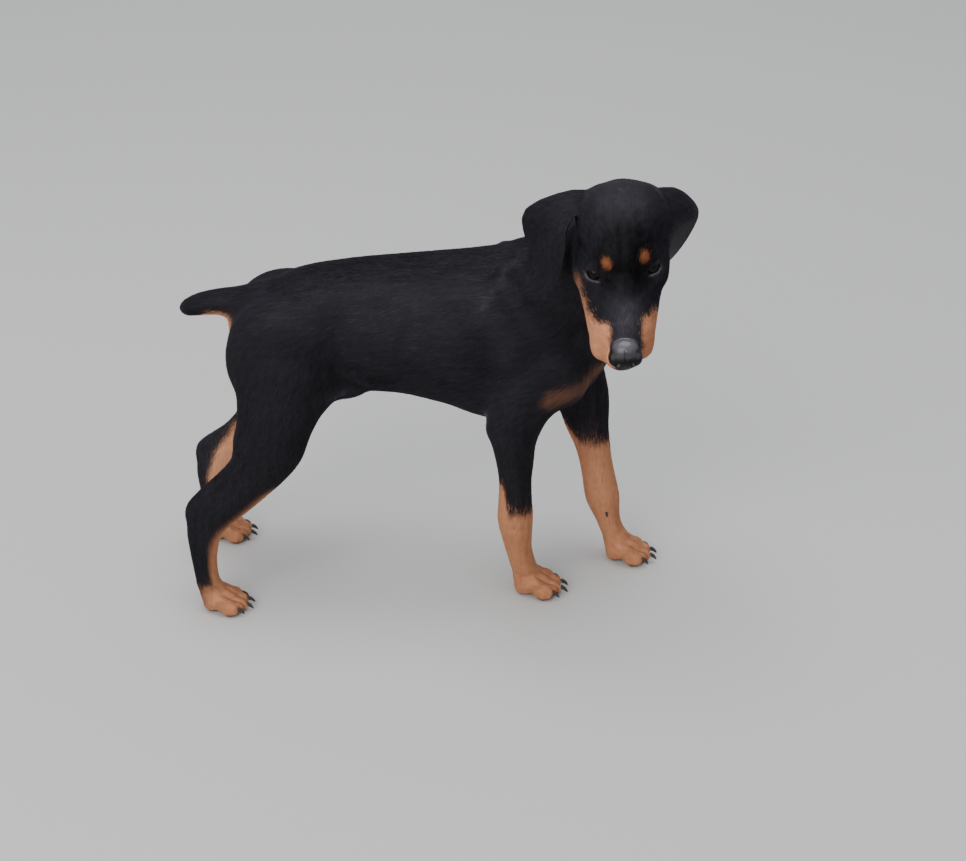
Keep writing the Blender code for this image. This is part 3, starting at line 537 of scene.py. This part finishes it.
def markings(points, normals, parts):
    """How rusty the coat is at each point, from 0 for black to 1."""
    rust = np.zeros(len(points))
    wobble = ripple(points, 0.021) * 0.003 + ripple(points, 0.009, 1.3) * 0.0015
    x, z = points[:, 0], points[:, 2] + wobble

    def on(*wanted):
        return np.isin(parts, [index for index, node in enumerate(FLESH)
                               if node in wanted or part_of(node) in wanted])

    # near fore leg: black down the outside, rust below and up the rear edge
    fore_right = on("forearm_right", "fore_pastern_right", "fore_paw_right")
    rear = smoothstep(0.2, 0.8, -normals[:, 0])
    inner = smoothstep(-0.1, 0.6, normals[:, 1])
    line = FORE_LINE + 0.035 * rear + 0.045 * inner
    rust = np.where(fore_right, under(z, line), rust)
    # far fore leg: rust from higher, first on its rear and inner side
    fore_left = on("forearm_left", "fore_pastern_left", "fore_paw_left")
    inner = smoothstep(-0.3, 0.5, -normals[:, 1])
    line = FORE_LINE + 0.038 * inner + 0.028 * smoothstep(0.35, 0.95, -normals[:, 0])
    rust = np.where(fore_left, under(z, line), rust)
    # near hind leg: black outside and behind, rust on the front of hock, metatarsus and paw
    hind_right = on("shank_right", "hind_pastern_right", "hind_paw_right")
    front = smoothstep(-0.15, 0.55, normals[:, 0] + 0.35 * normals[:, 1])
    low = under(z, NEAR_HIND_LINE, 0.008)
    paw = under(z, 0.034, 0.006) * smoothstep(-0.262, -0.246, x)
    rust = np.where(hind_right, np.maximum(front * low, paw), rust)
    # far hind leg: rust up the inside of the shank, black behind
    hind_left = on("shank_left", "hind_pastern_left", "hind_paw_left")
    inner = smoothstep(-0.2, 0.5, -normals[:, 1] + 0.3 * normals[:, 0])
    rear_line = np.interp(z, HOCK_HEIGHTS, HOCK_BACKS)
    inner *= smoothstep(rear_line - 0.0025, rear_line + 0.0025, x + 0.5 * wobble)
    paw = under(z, 0.030, 0.006) * smoothstep(-0.270, -0.252, x)
    rust = np.where(hind_left, np.maximum(inner * under(z, FAR_HIND_LINE, 0.008), paw), rust)
    # under the tail, and a brown band on each side of the forechest
    below_tail = TAIL_RUST * soft_ball(points, *TAIL_PATCH)
    rust = np.where(on("torso", "tail", "thigh"), np.maximum(rust, below_tail), rust)
    near_band, far_band = (soft_band(points, *band, BAND_RADIUS) for band in (NEAR_BAND, FAR_BAND))
    chest = CHEST_RUST * np.maximum(near_band, far_band)
    rust = np.where(on("torso", "neck"), np.maximum(rust, chest), rust)
    # the face, in the head's own frame
    head = on("head", "lower_jaw")
    face = in_head(points)
    across = np.abs(face[:, 1] - MIDLINE)
    spots = np.maximum(*(soft_ball(face, spot, BROW_SPOT_RADII) for spot in BROW_SPOTS))
    half_right, half_left = (np.interp(face[:, 0], reach[:, 0], reach[:, 1])
                             for reach in (BLACK_RIGHT, BLACK_LEFT))
    half = np.where(face[:, 1] < MIDLINE, half_right, half_left)
    beside = smoothstep(half - 0.0018, half + 0.0018, across + 0.5 * wobble)
    beside *= smoothstep(0.028, 0.062, face[:, 0]) * under(face[:, 2], 0.004, 0.004)
    low = under(face[:, 2] + wobble, -0.040 + 0.12 * face[:, 0], 0.003)
    low *= smoothstep(0.006, 0.026, face[:, 0])
    low *= smoothstep(0.010, 0.016, across + 0.01 * (face[:, 2] < -0.044))
    rust = np.where(head, np.maximum.reduce([rust, BROW_RUST * spots, beside, low]), rust)
    return np.clip(rust, 0.0, 1.0)


skin_rust = markings(skin_co, skin_normals, skin_parts)
skin_rust = spread(skin_rust[:, None], skin_edges, np.full(len(skin_co), 0.5), 3)[:, 0]
lips = smoothstep(0.0022, 0.0012, mouth_distance(in_head(skin_co)))
lips *= np.isin(skin_parts, HEAD_PARTS)
skin_rust *= 1.0 - np.maximum(lips, near_eye(skin_co, 0.0030, 0.0018))
# black pads under the feet, and painted shade in the clefts between the toes as less rust there
skin_rust *= smoothstep(0.0030, 0.0050, skin_co[:, 2]) * (1.0 - 0.5 * between_toes(skin_co))


# The lie of the coat: from the nose back over the skull, down the neck, back along the trunk and
# round the ribs, and down the legs to the toes, given part by part and then combed smooth.
COMB_ROUNDS = 45
NOSE_TIP = np.array((0.198, -0.128, 0.362))
LIE = {"torso": (-1.0, 0.0, -0.28), "tail": (-1.0, 0.0, -0.15), "forearm": (-0.12, 0.0, -1.0),
       "fore_pastern": (0.05, 0.0, -1.0), "thigh": (-0.45, 0.0, -1.0), "shank": (-0.45, 0.0, -1.0),
       "hind_pastern": (0.05, 0.0, -1.0), "fore_paw": (0.8, 0.0, -0.6),
       "hind_paw": (0.8, 0.0, -0.6), "neck": (-0.55, 0.35, -0.75)}
THROAT_LIE = (-0.1, 0.15, -1.0)
CHEST_LIE = (-0.3, 0.0, -1.0)
EAR_ROOTS = {"ear_right": np.array((0.186, -0.020, 0.482)),
             "ear_left": np.array((0.205, -0.020, 0.482))}


def lie_of_coat(points, normals, parts, edges):
    """The way the hair lies at each point, flat to the hide and of length one."""
    way = np.zeros((len(points), 3))
    for index, node in enumerate(FLESH):
        chosen = parts == index
        if node in ("head", "lower_jaw"):
            way[chosen] = points[chosen] - NOSE_TIP
        elif node in EAR_ROOTS:
            way[chosen] = (points[chosen] - EAR_ROOTS[node]) * (1.0, 0.6, 1.0)
            way[chosen] += (0.0, 0.0, -0.02)
        elif node == "neck":
            throat = smoothstep(-0.2, 0.5, -normals[chosen, 1])[:, None]
            way[chosen] = np.array(LIE["neck"]) * (1 - throat) + np.array(THROAT_LIE) * throat
        elif node == "torso":
            chest = smoothstep(0.120, 0.190, points[chosen, 0])[:, None]
            way[chosen] = np.array(LIE["torso"]) * (1 - chest) + np.array(CHEST_LIE) * chest
        else:
            way[chosen] = LIE[part_of(node)]
    for _ in range(3):
        way -= normals * (way * normals).sum(1)[:, None]
        way /= np.linalg.norm(way, axis=1)[:, None].clip(1e-9)
        way = spread(way, edges, np.full(len(points), 0.6), COMB_ROUNDS // 3)
    way -= normals * (way * normals).sum(1)[:, None]
    return way / np.linalg.norm(way, axis=1)[:, None].clip(1e-9)


skin_lie = lie_of_coat(skin_co, skin_normals, skin_parts, skin_edges)


# The colour of the hair: black with a cool shine, brown where it thins, or rust, lighter at its
# tips, streaked along the lie where hairs part into fine clumps. Its shade value also carries
# painted highlights and painted shade, so the paler ends of these colours serve as painted light
# too.
BLACK_HAIR = (0.0035, 0.0031, 0.0042, 1.0)
BLACK_TIP_AND_SHEEN = (0.0330, 0.0300, 0.0385, 1.0)
GREY_SKIN_AND_HIGHLIGHT = (0.1300, 0.1080, 0.1180, 1.0)
RUST_DEEP = (0.500, 0.172, 0.068, 1.0)
RUST_LIGHT = (0.930, 0.485, 0.285, 1.0)
# the shade at which black hair is as pale as its tips and as the painted sheen of the crown and
# shoulder; past it the grey skin and the painted highlights of the bridge, lids and folds show
BLACK_TIP_AND_SHEEN_STOP = 0.70
ROUGHNESS_BLACK, ROUGHNESS_RUST = 0.42, 0.62
SHEEN_TINT = (0.82, 0.82, 1.0, 1.0)


def hair_colour_group():
    tree = bpy.data.node_groups.new("hair_colour", "ShaderNodeTree")
    for name, kind, way in (("Rust", "Float", "INPUT"), ("Shade", "Float", "INPUT"),
                            ("Color", "Color", "OUTPUT"), ("Roughness", "Float", "OUTPUT")):
        tree.interface.new_socket(name=name, in_out=way, socket_type="NodeSocket" + kind)
    given = tree.nodes.new("NodeGroupInput")
    result = tree.nodes.new("NodeGroupOutput")
    black = tree.nodes.new("ShaderNodeValToRGB")
    black.color_ramp.elements[0].color = BLACK_HAIR
    # the pale ends of the black carry painted sheen and painted highlights as well as the tips and
    # the bare grey skin
    black.color_ramp.elements[1].color = GREY_SKIN_AND_HIGHLIGHT
    black.color_ramp.elements.new(BLACK_TIP_AND_SHEEN_STOP).color = BLACK_TIP_AND_SHEEN
    tan, both = (tree.nodes.new("ShaderNodeMix") for _ in range(2))
    tan.data_type = both.data_type = "RGBA"
    set_inputs(tan, {"A": RUST_DEEP, "B": RUST_LIGHT})
    rough = tree.nodes.new("ShaderNodeMapRange")
    set_inputs(rough, {"To Min": ROUGHNESS_BLACK, "To Max": ROUGHNESS_RUST})
    wire(tree, (given, "Shade", black, "Fac"), (given, "Shade", tan, "Factor"),
         (given, "Rust", both, "Factor"), (black, "Color", both, "A"), (tan, "Result", both, "B"),
         (both, "Result", result, "Color"), (given, "Rust", rough, "Value"),
         (rough, "Result", result, "Roughness"))
    return tree


hair_colour = hair_colour_group()


def hair_material(name, bump):
    """Hair over a piece that carries the values rust and shade."""
    look, tree, shader = new_look(name)
    group = tree.nodes.new("ShaderNodeGroup")
    group.node_tree = hair_colour
    for value in ("rust", "shade"):
        reader = tree.nodes.new("ShaderNodeAttribute")
        reader.attribute_name = value
        wire(tree, (reader, "Fac", group, value.capitalize()))
    wire(tree, (group, "Color", shader, "Base Color"), (group, "Roughness", shader, "Roughness"))
    set_inputs(shader, {"Specular IOR Level": 0.085, "Sheen Weight": 0.03, "Sheen Roughness": 0.4,
                        "Sheen Tint": SHEEN_TINT})
    if bump:
        place = tree.nodes.new("ShaderNodeTexCoord")
        grain = tree.nodes.new("ShaderNodeTexNoise")
        set_inputs(grain, {"Scale": 900.0, "Detail": 3.0})
        raised = tree.nodes.new("ShaderNodeBump")
        set_inputs(raised, {"Strength": bump, "Distance": 0.0006})
        wire(tree, (place, "Object", grain, "Vector"), (grain, "Fac", raised, "Height"),
             (raised, "Normal", shader, "Normal"))
    return look


def point_value(mesh, name, values):
    attribute = mesh.attributes.new(name, "FLOAT", "POINT")
    attribute.data.foreach_set("value", np.asarray(values, np.float32))


# places where the coat is painted lighter or darker: mostly painted highlights and painted shade,
# with a few real tones such as the thinner greyer hair of the bridge and the bare grey fold of the
# flank
HEAD_PAINTED_LIGHT_AND_TONES = (
    # centre and radii in the head's axes, how much lighter or darker
    # painted shade on the forehead
    ((0.036, 0.000, 0.034), (0.030, 0.026, 0.022), -0.44),
    # painted shade in the stop between the eyes
    ((0.056, -0.001, 0.010), (0.014, 0.024, 0.014), -0.42),
    # painted highlight along the bridge, partly its thinner greyer hair
    ((0.090, -0.001, -0.006), (0.032, 0.017, 0.016), 0.36),
    ((0.043, -0.017, 0.022), (0.010, 0.009, 0.010), -0.36),
    ((0.039, 0.020, 0.024), (0.010, 0.009, 0.010), -0.36),
    # painted light on the lit near side of the muzzle, painted shade on its far side
    ((0.095, -0.032, -0.030), (0.020, 0.016, 0.016), 0.16),
    ((0.095, 0.030, -0.030), (0.020, 0.016, 0.016), -0.12),
    # a painted highlight on the crown, and two painted highlight streaks beside its middle
    ((-0.020, 0.000, 0.052), (0.026, 0.032, 0.016), 0.26),
    ((0.012, -0.011, 0.050), (0.016, 0.0030, 0.010), 0.16),
    ((0.012, 0.009, 0.050), (0.016, 0.0030, 0.010), 0.16),
)
# the same for the body, in the dog's frame: painted light and painted shade, and the real grey skin
# of the flank fold
BODY_PAINTED_LIGHT_AND_TONES = (
    # painted light on the lit inner side of the far hind leg and on the far fore leg
    ((-0.225, 0.105, 0.100), (0.050, 0.040, 0.070), 0.50),
    ((0.185, 0.072, 0.100), (0.030, 0.030, 0.060), 0.10),
    # painted highlights on the folds of the neck and shoulder
    ((0.074, -0.008, 0.370), (0.022, 0.020, 0.034), 0.16),
    ((0.086, -0.014, 0.304), (0.020, 0.020, 0.022), 0.14),
    # painted light on the upper flank, and painted shade along the top of the back
    ((-0.030, -0.004, 0.335), (0.100, 0.030, 0.040), 0.22),
    ((-0.060, 0.050, 0.398), (0.130, 0.045, 0.022), -0.22),
    # painted shade in a hollow of the shoulder
    ((0.056, -0.015, 0.300), (0.014, 0.020, 0.030), -0.14),
    # darker over the flank fold, then the bare grey skin below it with a painted highlight along
    # its edge
    ((-0.085, 0.008, 0.268), (0.040, 0.030, 0.012), -0.12),
    ((-0.098, 0.006, 0.253), (0.018, 0.020, 0.007), 0.42),
)
# a painted highlight along the ridge at the edge of the near shoulder blade
SHOULDER_HIGHLIGHT_LINE = (0.099, 0.032, 0.405), (0.060, -0.006, 0.360)
SHOULDER_HIGHLIGHT_BREADTH = 0.006
LID_SLANT = math.radians(14.0)
MEAN_SHADE = 0.40
SOLE_HEIGHT = 0.0045
SOLE_SHADE = 0.05


def lid_tone(local):
    """How bare and pale the lower lid's edge is under each eye: partly its grey skin, partly a
    painted highlight on its wet edge.
    """
    tone = np.zeros(len(local))
    for side, centre in EYE_CENTRES.items():
        out = local - np.array(centre)
        lean = -1.0 if side == "right" else 1.0
        below = lean * math.sin(LID_SLANT) * out[:, 1] - math.cos(LID_SLANT) * out[:, 2]
        gap = np.linalg.norm(out, axis=1) - EYE_RADIUS
        rim = np.exp(-((gap - 0.0014) / 0.0016) ** 2) * smoothstep(0.0005, 0.0030, below)
        tone = np.maximum(tone, rim * smoothstep(0.0, 0.004, out[:, 0]))
    return tone


def shade_at(points):
    """Clumps and patches of lighter and darker hair, the painted highlights and painted shade of
    the face and body with their few real tones, the pale lower lids and painted shade between the
    toes.
    """
    shade = MEAN_SHADE + 0.10 * ripple(points, 0.011, 0.4) + 0.12 * ripple(points, 0.0043, 2.1)
    shade += 0.05 * ripple(points, 0.060, 0.9)
    for tones, frame_points in ((HEAD_PAINTED_LIGHT_AND_TONES, in_head(points)), (BODY_PAINTED_LIGHT_AND_TONES, points)):
        for centre, radii, change in tones:
            reach = ((frame_points - np.array(centre)) / np.array(radii)) ** 2
            shade += change * np.exp(-reach.sum(1))
    # the pale lower lids, partly bare grey skin and partly a painted highlight on their wet edge,
    # and painted shade in the clefts between the toes
    shade += 0.75 * lid_tone(in_head(points)) - 0.30 * between_toes(points)
    # the painted highlight along the near shoulder blade's ridge
    from_ridge = line_distance(points, *SHOULDER_HIGHLIGHT_LINE) / SHOULDER_HIGHLIGHT_BREADTH
    shade += 0.22 * np.exp(-from_ridge ** 2)
    return np.where(points[:, 2] < SOLE_HEIGHT, SOLE_SHADE, shade)


skin.data.materials.append(hair_material("hide", 0.5))
point_value(skin.data, "rust", skin_rust)
point_value(skin.data, "shade", np.clip(shade_at(skin_co) - 0.06, 0.0, 1.0))
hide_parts(*FLESH)
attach(skin, "root")


# The coat: short, hard hair that lies flat, made as fine closed tufts with their roots in the hide.
# They are longest on the trunk and finest on the face, ears and feet, and follow the body's curve.
LAYOUT = {
    # length, width, stand, share of the surface covered
    "torso": (0.0090, 0.00062, 0.0010, 1.15),
    "neck": (0.0085, 0.00058, 0.0010, 1.2),
    "tail": (0.0075, 0.00055, 0.0010, 1.4),
    "forearm": (0.0068, 0.00050, 0.0009, 1.2),
    "thigh": (0.0080, 0.00056, 0.0010, 1.15),
    "shank": (0.0068, 0.00050, 0.0009, 1.2),
    "fore_pastern": (0.0052, 0.00044, 0.0008, 1.2),
    "hind_pastern": (0.0052, 0.00044, 0.0008, 1.2),
    "fore_paw": (0.0038, 0.00038, 0.0006, 1.2),
    "hind_paw": (0.0038, 0.00038, 0.0006, 1.2),
    "head": (0.0040, 0.00036, 0.0006, 1.15),
    "lower_jaw": (0.0032, 0.00034, 0.0005, 1.1),
    "ear": (0.0042, 0.00036, 0.0005, 1.1)}
TUFTS = 330000
MOST_TUFTS = 48000
FEWEST_TUFTS = 50
# a tuft's root sinks this far into the hide, and its ridge stands this far above it
ROOT_SINK = 0.00025
RIDGE_RISE = 0.00012
# each tuft's patch of the map is this broad, and its four corners take these places and shades
PATCH = 0.003
PATCH_CORNERS = ((-0.5, -0.5), (0.5, -0.5), (0.0, -0.2), (0.0, 0.5))
CORNER_SHADES = (0.7, 0.7, 0.8, 1.1)
TUFT_FACES = ((0, 2, 3), (2, 1, 3), (1, 0, 3), (0, 1, 2))
REGIONS = {"trunk": ("torso",), "neck": ("neck",), "head": ("head", "lower_jaw"), "ears": ("ear",),
           "fore": ("forearm", "fore_pastern", "fore_paw"),
           "hind": ("thigh", "shank", "hind_pastern", "hind_paw", "tail")}
random = np.random.default_rng(20)

mesh = skin.data
faces = np.empty(len(mesh.polygons) * 3, np.int32)
mesh.polygons.foreach_get("vertices", faces)
faces = faces.reshape(-1, 3)
uvs = np.empty(len(mesh.loops) * 2, np.float32)
mesh.uv_layers["OFBake"].uv.foreach_get("vector", uvs)
uvs = uvs.reshape(-1, 3, 2)
layout = spread(by_part(LAYOUT, skin_parts), skin_edges, np.full(len(skin_co), 0.5), 25)
corner_a, corner_b, corner_c = (skin_co[faces[:, i]] for i in range(3))
area = np.linalg.norm(np.cross(corner_b - corner_a, corner_c - corner_a), axis=1) / 2.0
layout_face = layout[faces].mean(1)
wanted = area * layout_face[:, 3] / (0.5 * layout_face[:, 0] * layout_face[:, 1])
centre = (corner_a + corner_b + corner_c) / 3.0
wanted *= centre[:, 2] > 0.003
tufts = int(min(TUFTS, wanted.sum()))
steps = np.cumsum(wanted / wanted.sum())
picks = (np.arange(tufts) + random.random(tufts)) / tufts
root_face = np.searchsorted(steps, picks).clip(0, len(faces) - 1)
u, v = random.random(tufts), random.random(tufts)
over = u + v > 1.0
u[over], v[over] = 1.0 - u[over], 1.0 - v[over]
weights = np.stack([1.0 - u - v, u, v], 1)


def at_root(values):
    """The hide's values at the tufts' roots."""
    return (values[faces[root_face]] * weights[:, :, None]).sum(1)


root = at_root(skin_co)
normal = at_root(skin_normals)
normal /= np.linalg.norm(normal, axis=1)[:, None]
lie = at_root(skin_lie) + random.normal(0.0, 0.10, (tufts, 3))
lie -= normal * (lie * normal).sum(1)[:, None]
lie /= np.linalg.norm(lie, axis=1)[:, None]
size = at_root(layout) * random.uniform(0.75, 1.25, (tufts, 1))
root_uv = (uvs[root_face] * weights[:, :, None]).sum(1)
root_part = skin_parts[faces[root_face, np.argmax(weights, 1)]]
root_rust = markings(root + random.normal(0.0, 0.0018, (tufts, 3)), normal, root_part)
bare = (near_eye(root, 0.0014, 0.0010) > 0.5) | (under_nose(root, 0.0016) > 0.5)
bare |= (mouth_distance(in_head(root)) < 0.0011) & np.isin(root_part, HEAD_PARTS)
skin_surface = BVHTree.FromPolygons(skin_co.tolist(), faces.tolist())
tip = root + lie * size[:, :1]
for index in range(tufts):
    spot, facing, _, _ = skin_surface.find_nearest(tip[index])
    tip[index] = spot + facing * size[index, 2] * 0.9
side = np.cross(normal, lie)
root_left = root + side * size[:, 1:2] * 0.5 - normal * ROOT_SINK
root_right = root - side * size[:, 1:2] * 0.5 - normal * ROOT_SINK
root_ridge = root + normal * (0.10 * size[:, 1:2] + RIDGE_RISE)
tuft_points = np.stack([root_left, root_right, root_ridge, tip], 1)
tuft_points[:, :, 2] = np.maximum(tuft_points[:, :, 2], 0.0002)
tuft_normals = normal + 0.22 * lie + random.normal(0.0, 0.07, (tufts, 3))
tuft_normals /= np.linalg.norm(tuft_normals, axis=1)[:, None]
tuft_shade = np.clip(shade_at(root) + random.normal(0.0, 0.07, tufts), 0.0, 1.0)


def coat_piece(name, chosen):
    """One piece of the coat: a four-sided tuft for each chosen root."""
    count = len(chosen)
    mesh = bpy.data.meshes.new(name)
    loops = (np.array(TUFT_FACES).ravel()[None, :] + 4 * np.arange(count)[:, None]).ravel()
    mesh.vertices.add(count * 4)
    mesh.loops.add(count * 12)
    mesh.polygons.add(count * 4)
    mesh.vertices.foreach_set("co", tuft_points[chosen].astype(np.float32).ravel())
    mesh.loops.foreach_set("vertex_index", loops.astype(np.int32))
    mesh.polygons.foreach_set("loop_start", np.arange(0, count * 12, 3, dtype=np.int32))
    mesh.update(calc_edges=True)
    layer = mesh.uv_layers.new(name="OFBake")
    flat = (root_uv[chosen][:, None, :] + np.array(PATCH_CORNERS) * PATCH).reshape(-1, 2)
    layer.uv.foreach_set("vector", flat[loops].astype(np.float32).ravel())
    shade = np.stack([tuft_shade[chosen] * f for f in CORNER_SHADES], 1)
    point_value(mesh, "shade", np.clip(shade, 0.0, 1.0).ravel())
    point_value(mesh, "rust", np.repeat(root_rust[chosen], 4))
    mesh.materials.append(coat_look)
    mesh.validate()
    smooth_normals = np.repeat(tuft_normals[chosen], 4, axis=0)
    mesh.normals_split_custom_set_from_vertices(smooth_normals.tolist())
    piece = bpy.data.objects.new(name, mesh)
    bpy.context.scene.collection.objects.link(piece)
    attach(piece, "root")


coat_look = hair_material("coat", 0.0)
in_order = np.nonzero(~bare)[0]
for colour, chosen_all in (("black", in_order[root_rust[in_order] < 0.5]),
                           ("rust", in_order[root_rust[in_order] >= 0.5])):
    for region, names in REGIONS.items():
        wanted_parts = [i for i, n in enumerate(FLESH) if part_of(n) in names]
        chosen = chosen_all[np.isin(root_part[chosen_all], wanted_parts)]
        if len(chosen) < FEWEST_TUFTS:
            continue
        chosen = chosen[np.argsort(root[chosen, 0])]
        pieces_needed = math.ceil(len(chosen) / MOST_TUFTS)
        for number, share in enumerate(np.array_split(chosen, pieces_needed)):
            coat_piece(f"coat_{colour}_{region}_{number + 1}", share)


# The eyes: dark brown, wet and bright, each a ball with a wide pupil and a clear bulging front.
EYE_TURN_OUT, EYE_TURN_DOWN = 30.0, -20.0
# the clear front starts here, as the cosine of the angle off the gaze, and bulges by this share
FRONT_START, FRONT_BULGE = 0.72, 0.06
EYE_RINGS = (
    # the same cosine, and the colour: the white in shade, the iris' dark rim, the iris, the pupil
    (0.60, (0.030, 0.026, 0.026, 1.0)), (0.70, (0.003, 0.002, 0.002, 1.0)),
    (0.78, (0.013, 0.006, 0.003, 1.0)), (0.90, (0.008, 0.004, 0.002, 1.0)),
    (0.925, (0.001, 0.001, 0.001, 1.0)),
)


def eye_look(name, centre, gaze):
    look, tree, shader = new_look(name)
    place = tree.nodes.new("ShaderNodeTexCoord")
    away = tree.nodes.new("ShaderNodeVectorMath")
    away.operation = "SUBTRACT"
    away.inputs[1].default_value = centre
    unit = tree.nodes.new("ShaderNodeVectorMath")
    unit.operation = "NORMALIZE"
    along = tree.nodes.new("ShaderNodeVectorMath")
    along.operation = "DOT_PRODUCT"
    along.inputs[1].default_value = gaze
    rings = tree.nodes.new("ShaderNodeValToRGB")
    for stop, (position, colour) in zip(rings.color_ramp.elements, EYE_RINGS[:2]):
        stop.position, stop.color = position, colour
    for position, colour in EYE_RINGS[2:]:
        rings.color_ramp.elements.new(position).color = colour
    wire(tree, (place, "Object", away, 0), (away, "Vector", unit, 0), (unit, "Vector", along, 0),
         (along, "Value", rings, "Fac"), (rings, "Color", shader, "Base Color"))
    set_inputs(shader, {"Roughness": 0.30, "Specular IOR Level": 0.0, "Coat Weight": 0.32,
                        "Coat Roughness": 0.03})
    return look


for side, sign in (("right", -1.0), ("left", 1.0)):
    turn = (Matrix.Rotation(math.radians(EYE_TURN_OUT * sign), 4, "Z")
            @ Matrix.Rotation(math.radians(EYE_TURN_DOWN), 4, "Y"))
    centre = head_frame @ EYE_CENTRES[side]
    gaze = (head_frame.to_3x3() @ turn.to_3x3() @ Vector((1.0, 0.0, 0.0))).normalized()
    select_none()
    bpy.ops.mesh.primitive_uv_sphere_add(segments=48, ring_count=32, radius=EYE_RADIUS,
                                         location=(0, 0, 0))
    eye = bpy.context.object
    eye.name = f"eyeball_{side}"
    ball = points_of(eye.data)
    front = smoothstep(FRONT_START, 1.0, ball[:, 2] / EYE_RADIUS)
    ball *= (1.0 + FRONT_BULGE * front)[:, None]
    place_points(eye.data, ball)
    bpy.ops.object.shade_smooth()
    aim = gaze.to_track_quat("Z", "Y").to_matrix().to_4x4()
    eye.data.transform(Matrix.Translation(centre) @ aim)
    eye.data.materials.append(eye_look(f"eye_{side}_wet", centre, gaze))
    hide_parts(f"eye_{side}")
    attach(eye, "root")
    eye.select_set(False)


# The nose: bare black leather, pebbled all over and moist, with a groove down its middle and the
# nostrils open to the front and cut back along its sides.
NOSE_VOXEL = 0.00055
# the leather's edge within this of the muzzle is drawn this far on to it
HEM_REACH, HEM_PULL = 0.0030, 0.0006
# the groove down the middle: its place, half its width and its depth
GROOVE_PLACE, GROOVE_HALF, GROOVE_DEPTH = -0.0024, 0.0009, 0.0007
LEATHER_HIGH = (0.0030, 0.0028, 0.0030, 1.0)
# painted shade in the grooves between the pebbles
LEATHER_GROOVE_SHADE = (0.0012, 0.0012, 0.0012, 1.0)
# painted highlight on the top of the leather
LEATHER_TOP_HIGHLIGHT = (0.088, 0.079, 0.092, 1.0)

nose = joined_copy("nose_leather", ["nose"])
apply_modifier(nose, "REMESH", mode="VOXEL", voxel_size=NOSE_VOXEL)
nose_co = points_of(nose.data)
nose_edges = edges_of(nose.data)
nose_co = spread(nose_co, nose_edges, np.full(len(nose_co), 0.5), 10)
muzzle = surface_tree(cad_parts["head"].data)
for index, spot in enumerate(nose_co):
    touch, _, _, away = muzzle.find_nearest(spot)
    if 1e-6 < away < HEM_REACH:
        nose_co[index] += (np.array(touch) - spot) / away * HEM_PULL * (1.0 - away / HEM_REACH)
place_points(nose.data, nose_co)
nose_local = in_head(nose_co)
groove = np.exp(-((nose_local[:, 1] - GROOVE_PLACE) / GROOVE_HALF) ** 2)
groove *= smoothstep(0.120, 0.126, nose_local[:, 0])
nose_co -= normals_of(nose.data) * (GROOVE_DEPTH * groove)[:, None]
place_points(nose.data, nose_co)
# the top of the leather is painted greyer than the front, a painted highlight of the light from
# above, and is given a wetter coat that catches that light
facing_up = normals_of(nose.data) @ np.array(head_frame.to_3x3())[:, 2]
point_value(nose.data, "top", smoothstep(0.42, 1.0, facing_up))
nose.data.shade_smooth()
nose_look, tree, shader = new_look("nose_leather")
set_inputs(shader, {"Roughness": 0.42, "Specular IOR Level": 0.16, "Coat Roughness": 0.24})
place = tree.nodes.new("ShaderNodeTexCoord")
pebble = tree.nodes.new("ShaderNodeTexVoronoi")
pebble.inputs["Scale"].default_value = 900.0
# the pebbles' tops stay dark leather and the grooves between them are painted darker still, as
# painted shade
tone = tree.nodes.new("ShaderNodeValToRGB")
tone.color_ramp.elements[0].color = LEATHER_HIGH
tone.color_ramp.elements[1].color = LEATHER_GROOVE_SHADE
top = tree.nodes.new("ShaderNodeAttribute")
top.attribute_name = "top"
# the painted highlight mixed into the top of the leather
painted_top_highlight = tree.nodes.new("ShaderNodeMix")
painted_top_highlight.data_type = "RGBA"
painted_top_highlight.inputs["B"].default_value = LEATHER_TOP_HIGHLIGHT
moist = tree.nodes.new("ShaderNodeMapRange")
set_inputs(moist, {"To Min": 0.04, "To Max": 0.80})
raised = tree.nodes.new("ShaderNodeBump")
raised.invert = True
set_inputs(raised, {"Strength": 0.6, "Distance": 0.0004})
wire(tree, (place, "Object", pebble, "Vector"), (pebble, "Distance", tone, "Fac"),
     (top, "Fac", painted_top_highlight, "Factor"), (tone, "Color", painted_top_highlight, "A"),
     (painted_top_highlight, "Result", shader, "Base Color"), (top, "Fac", moist, "Value"),
     (moist, "Result", shader, "Coat Weight"), (pebble, "Distance", raised, "Height"),
     (raised, "Normal", shader, "Normal"))
nose.data.materials.append(nose_look)
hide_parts("nose")
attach(nose, "root")


# The claws: short, blunt, dark horn, with a fine mottled grain and bump.
CLAW_NODES = [f"claw_{end}_{side}_{number}" for end in ("fore", "hind") for side in SIDES
              for number in (1, 2, 3, 4)] + ["dew_claw_fore_right", "dew_claw_fore_left"]
HORN_DARK = (0.010, 0.008, 0.007, 1.0)
HORN_PALE = (0.060, 0.048, 0.038, 1.0)

claws = joined_copy("claws", CLAW_NODES)
apply_modifier(claws, "SUBSURF", levels=1, render_levels=1)
claws.data.shade_smooth()
claw_look, tree, shader = new_look("claw_horn")
shader.inputs["Roughness"].default_value = 0.38
place = tree.nodes.new("ShaderNodeTexCoord")
grain = tree.nodes.new("ShaderNodeTexNoise")
set_inputs(grain, {"Scale": 420.0, "Detail": 4.0})
tone = tree.nodes.new("ShaderNodeValToRGB")
tone.color_ramp.elements[0].color = HORN_DARK
tone.color_ramp.elements[1].color = HORN_PALE
raised = tree.nodes.new("ShaderNodeBump")
set_inputs(raised, {"Strength": 0.3, "Distance": 0.0002})
wire(tree, (place, "Object", grain, "Vector"), (grain, "Fac", tone, "Fac"),
     (tone, "Color", shader, "Base Color"), (grain, "Fac", raised, "Height"),
     (raised, "Normal", shader, "Normal"))
claws.data.materials.append(claw_look)
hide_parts(*CLAW_NODES)
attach(claws, "root")
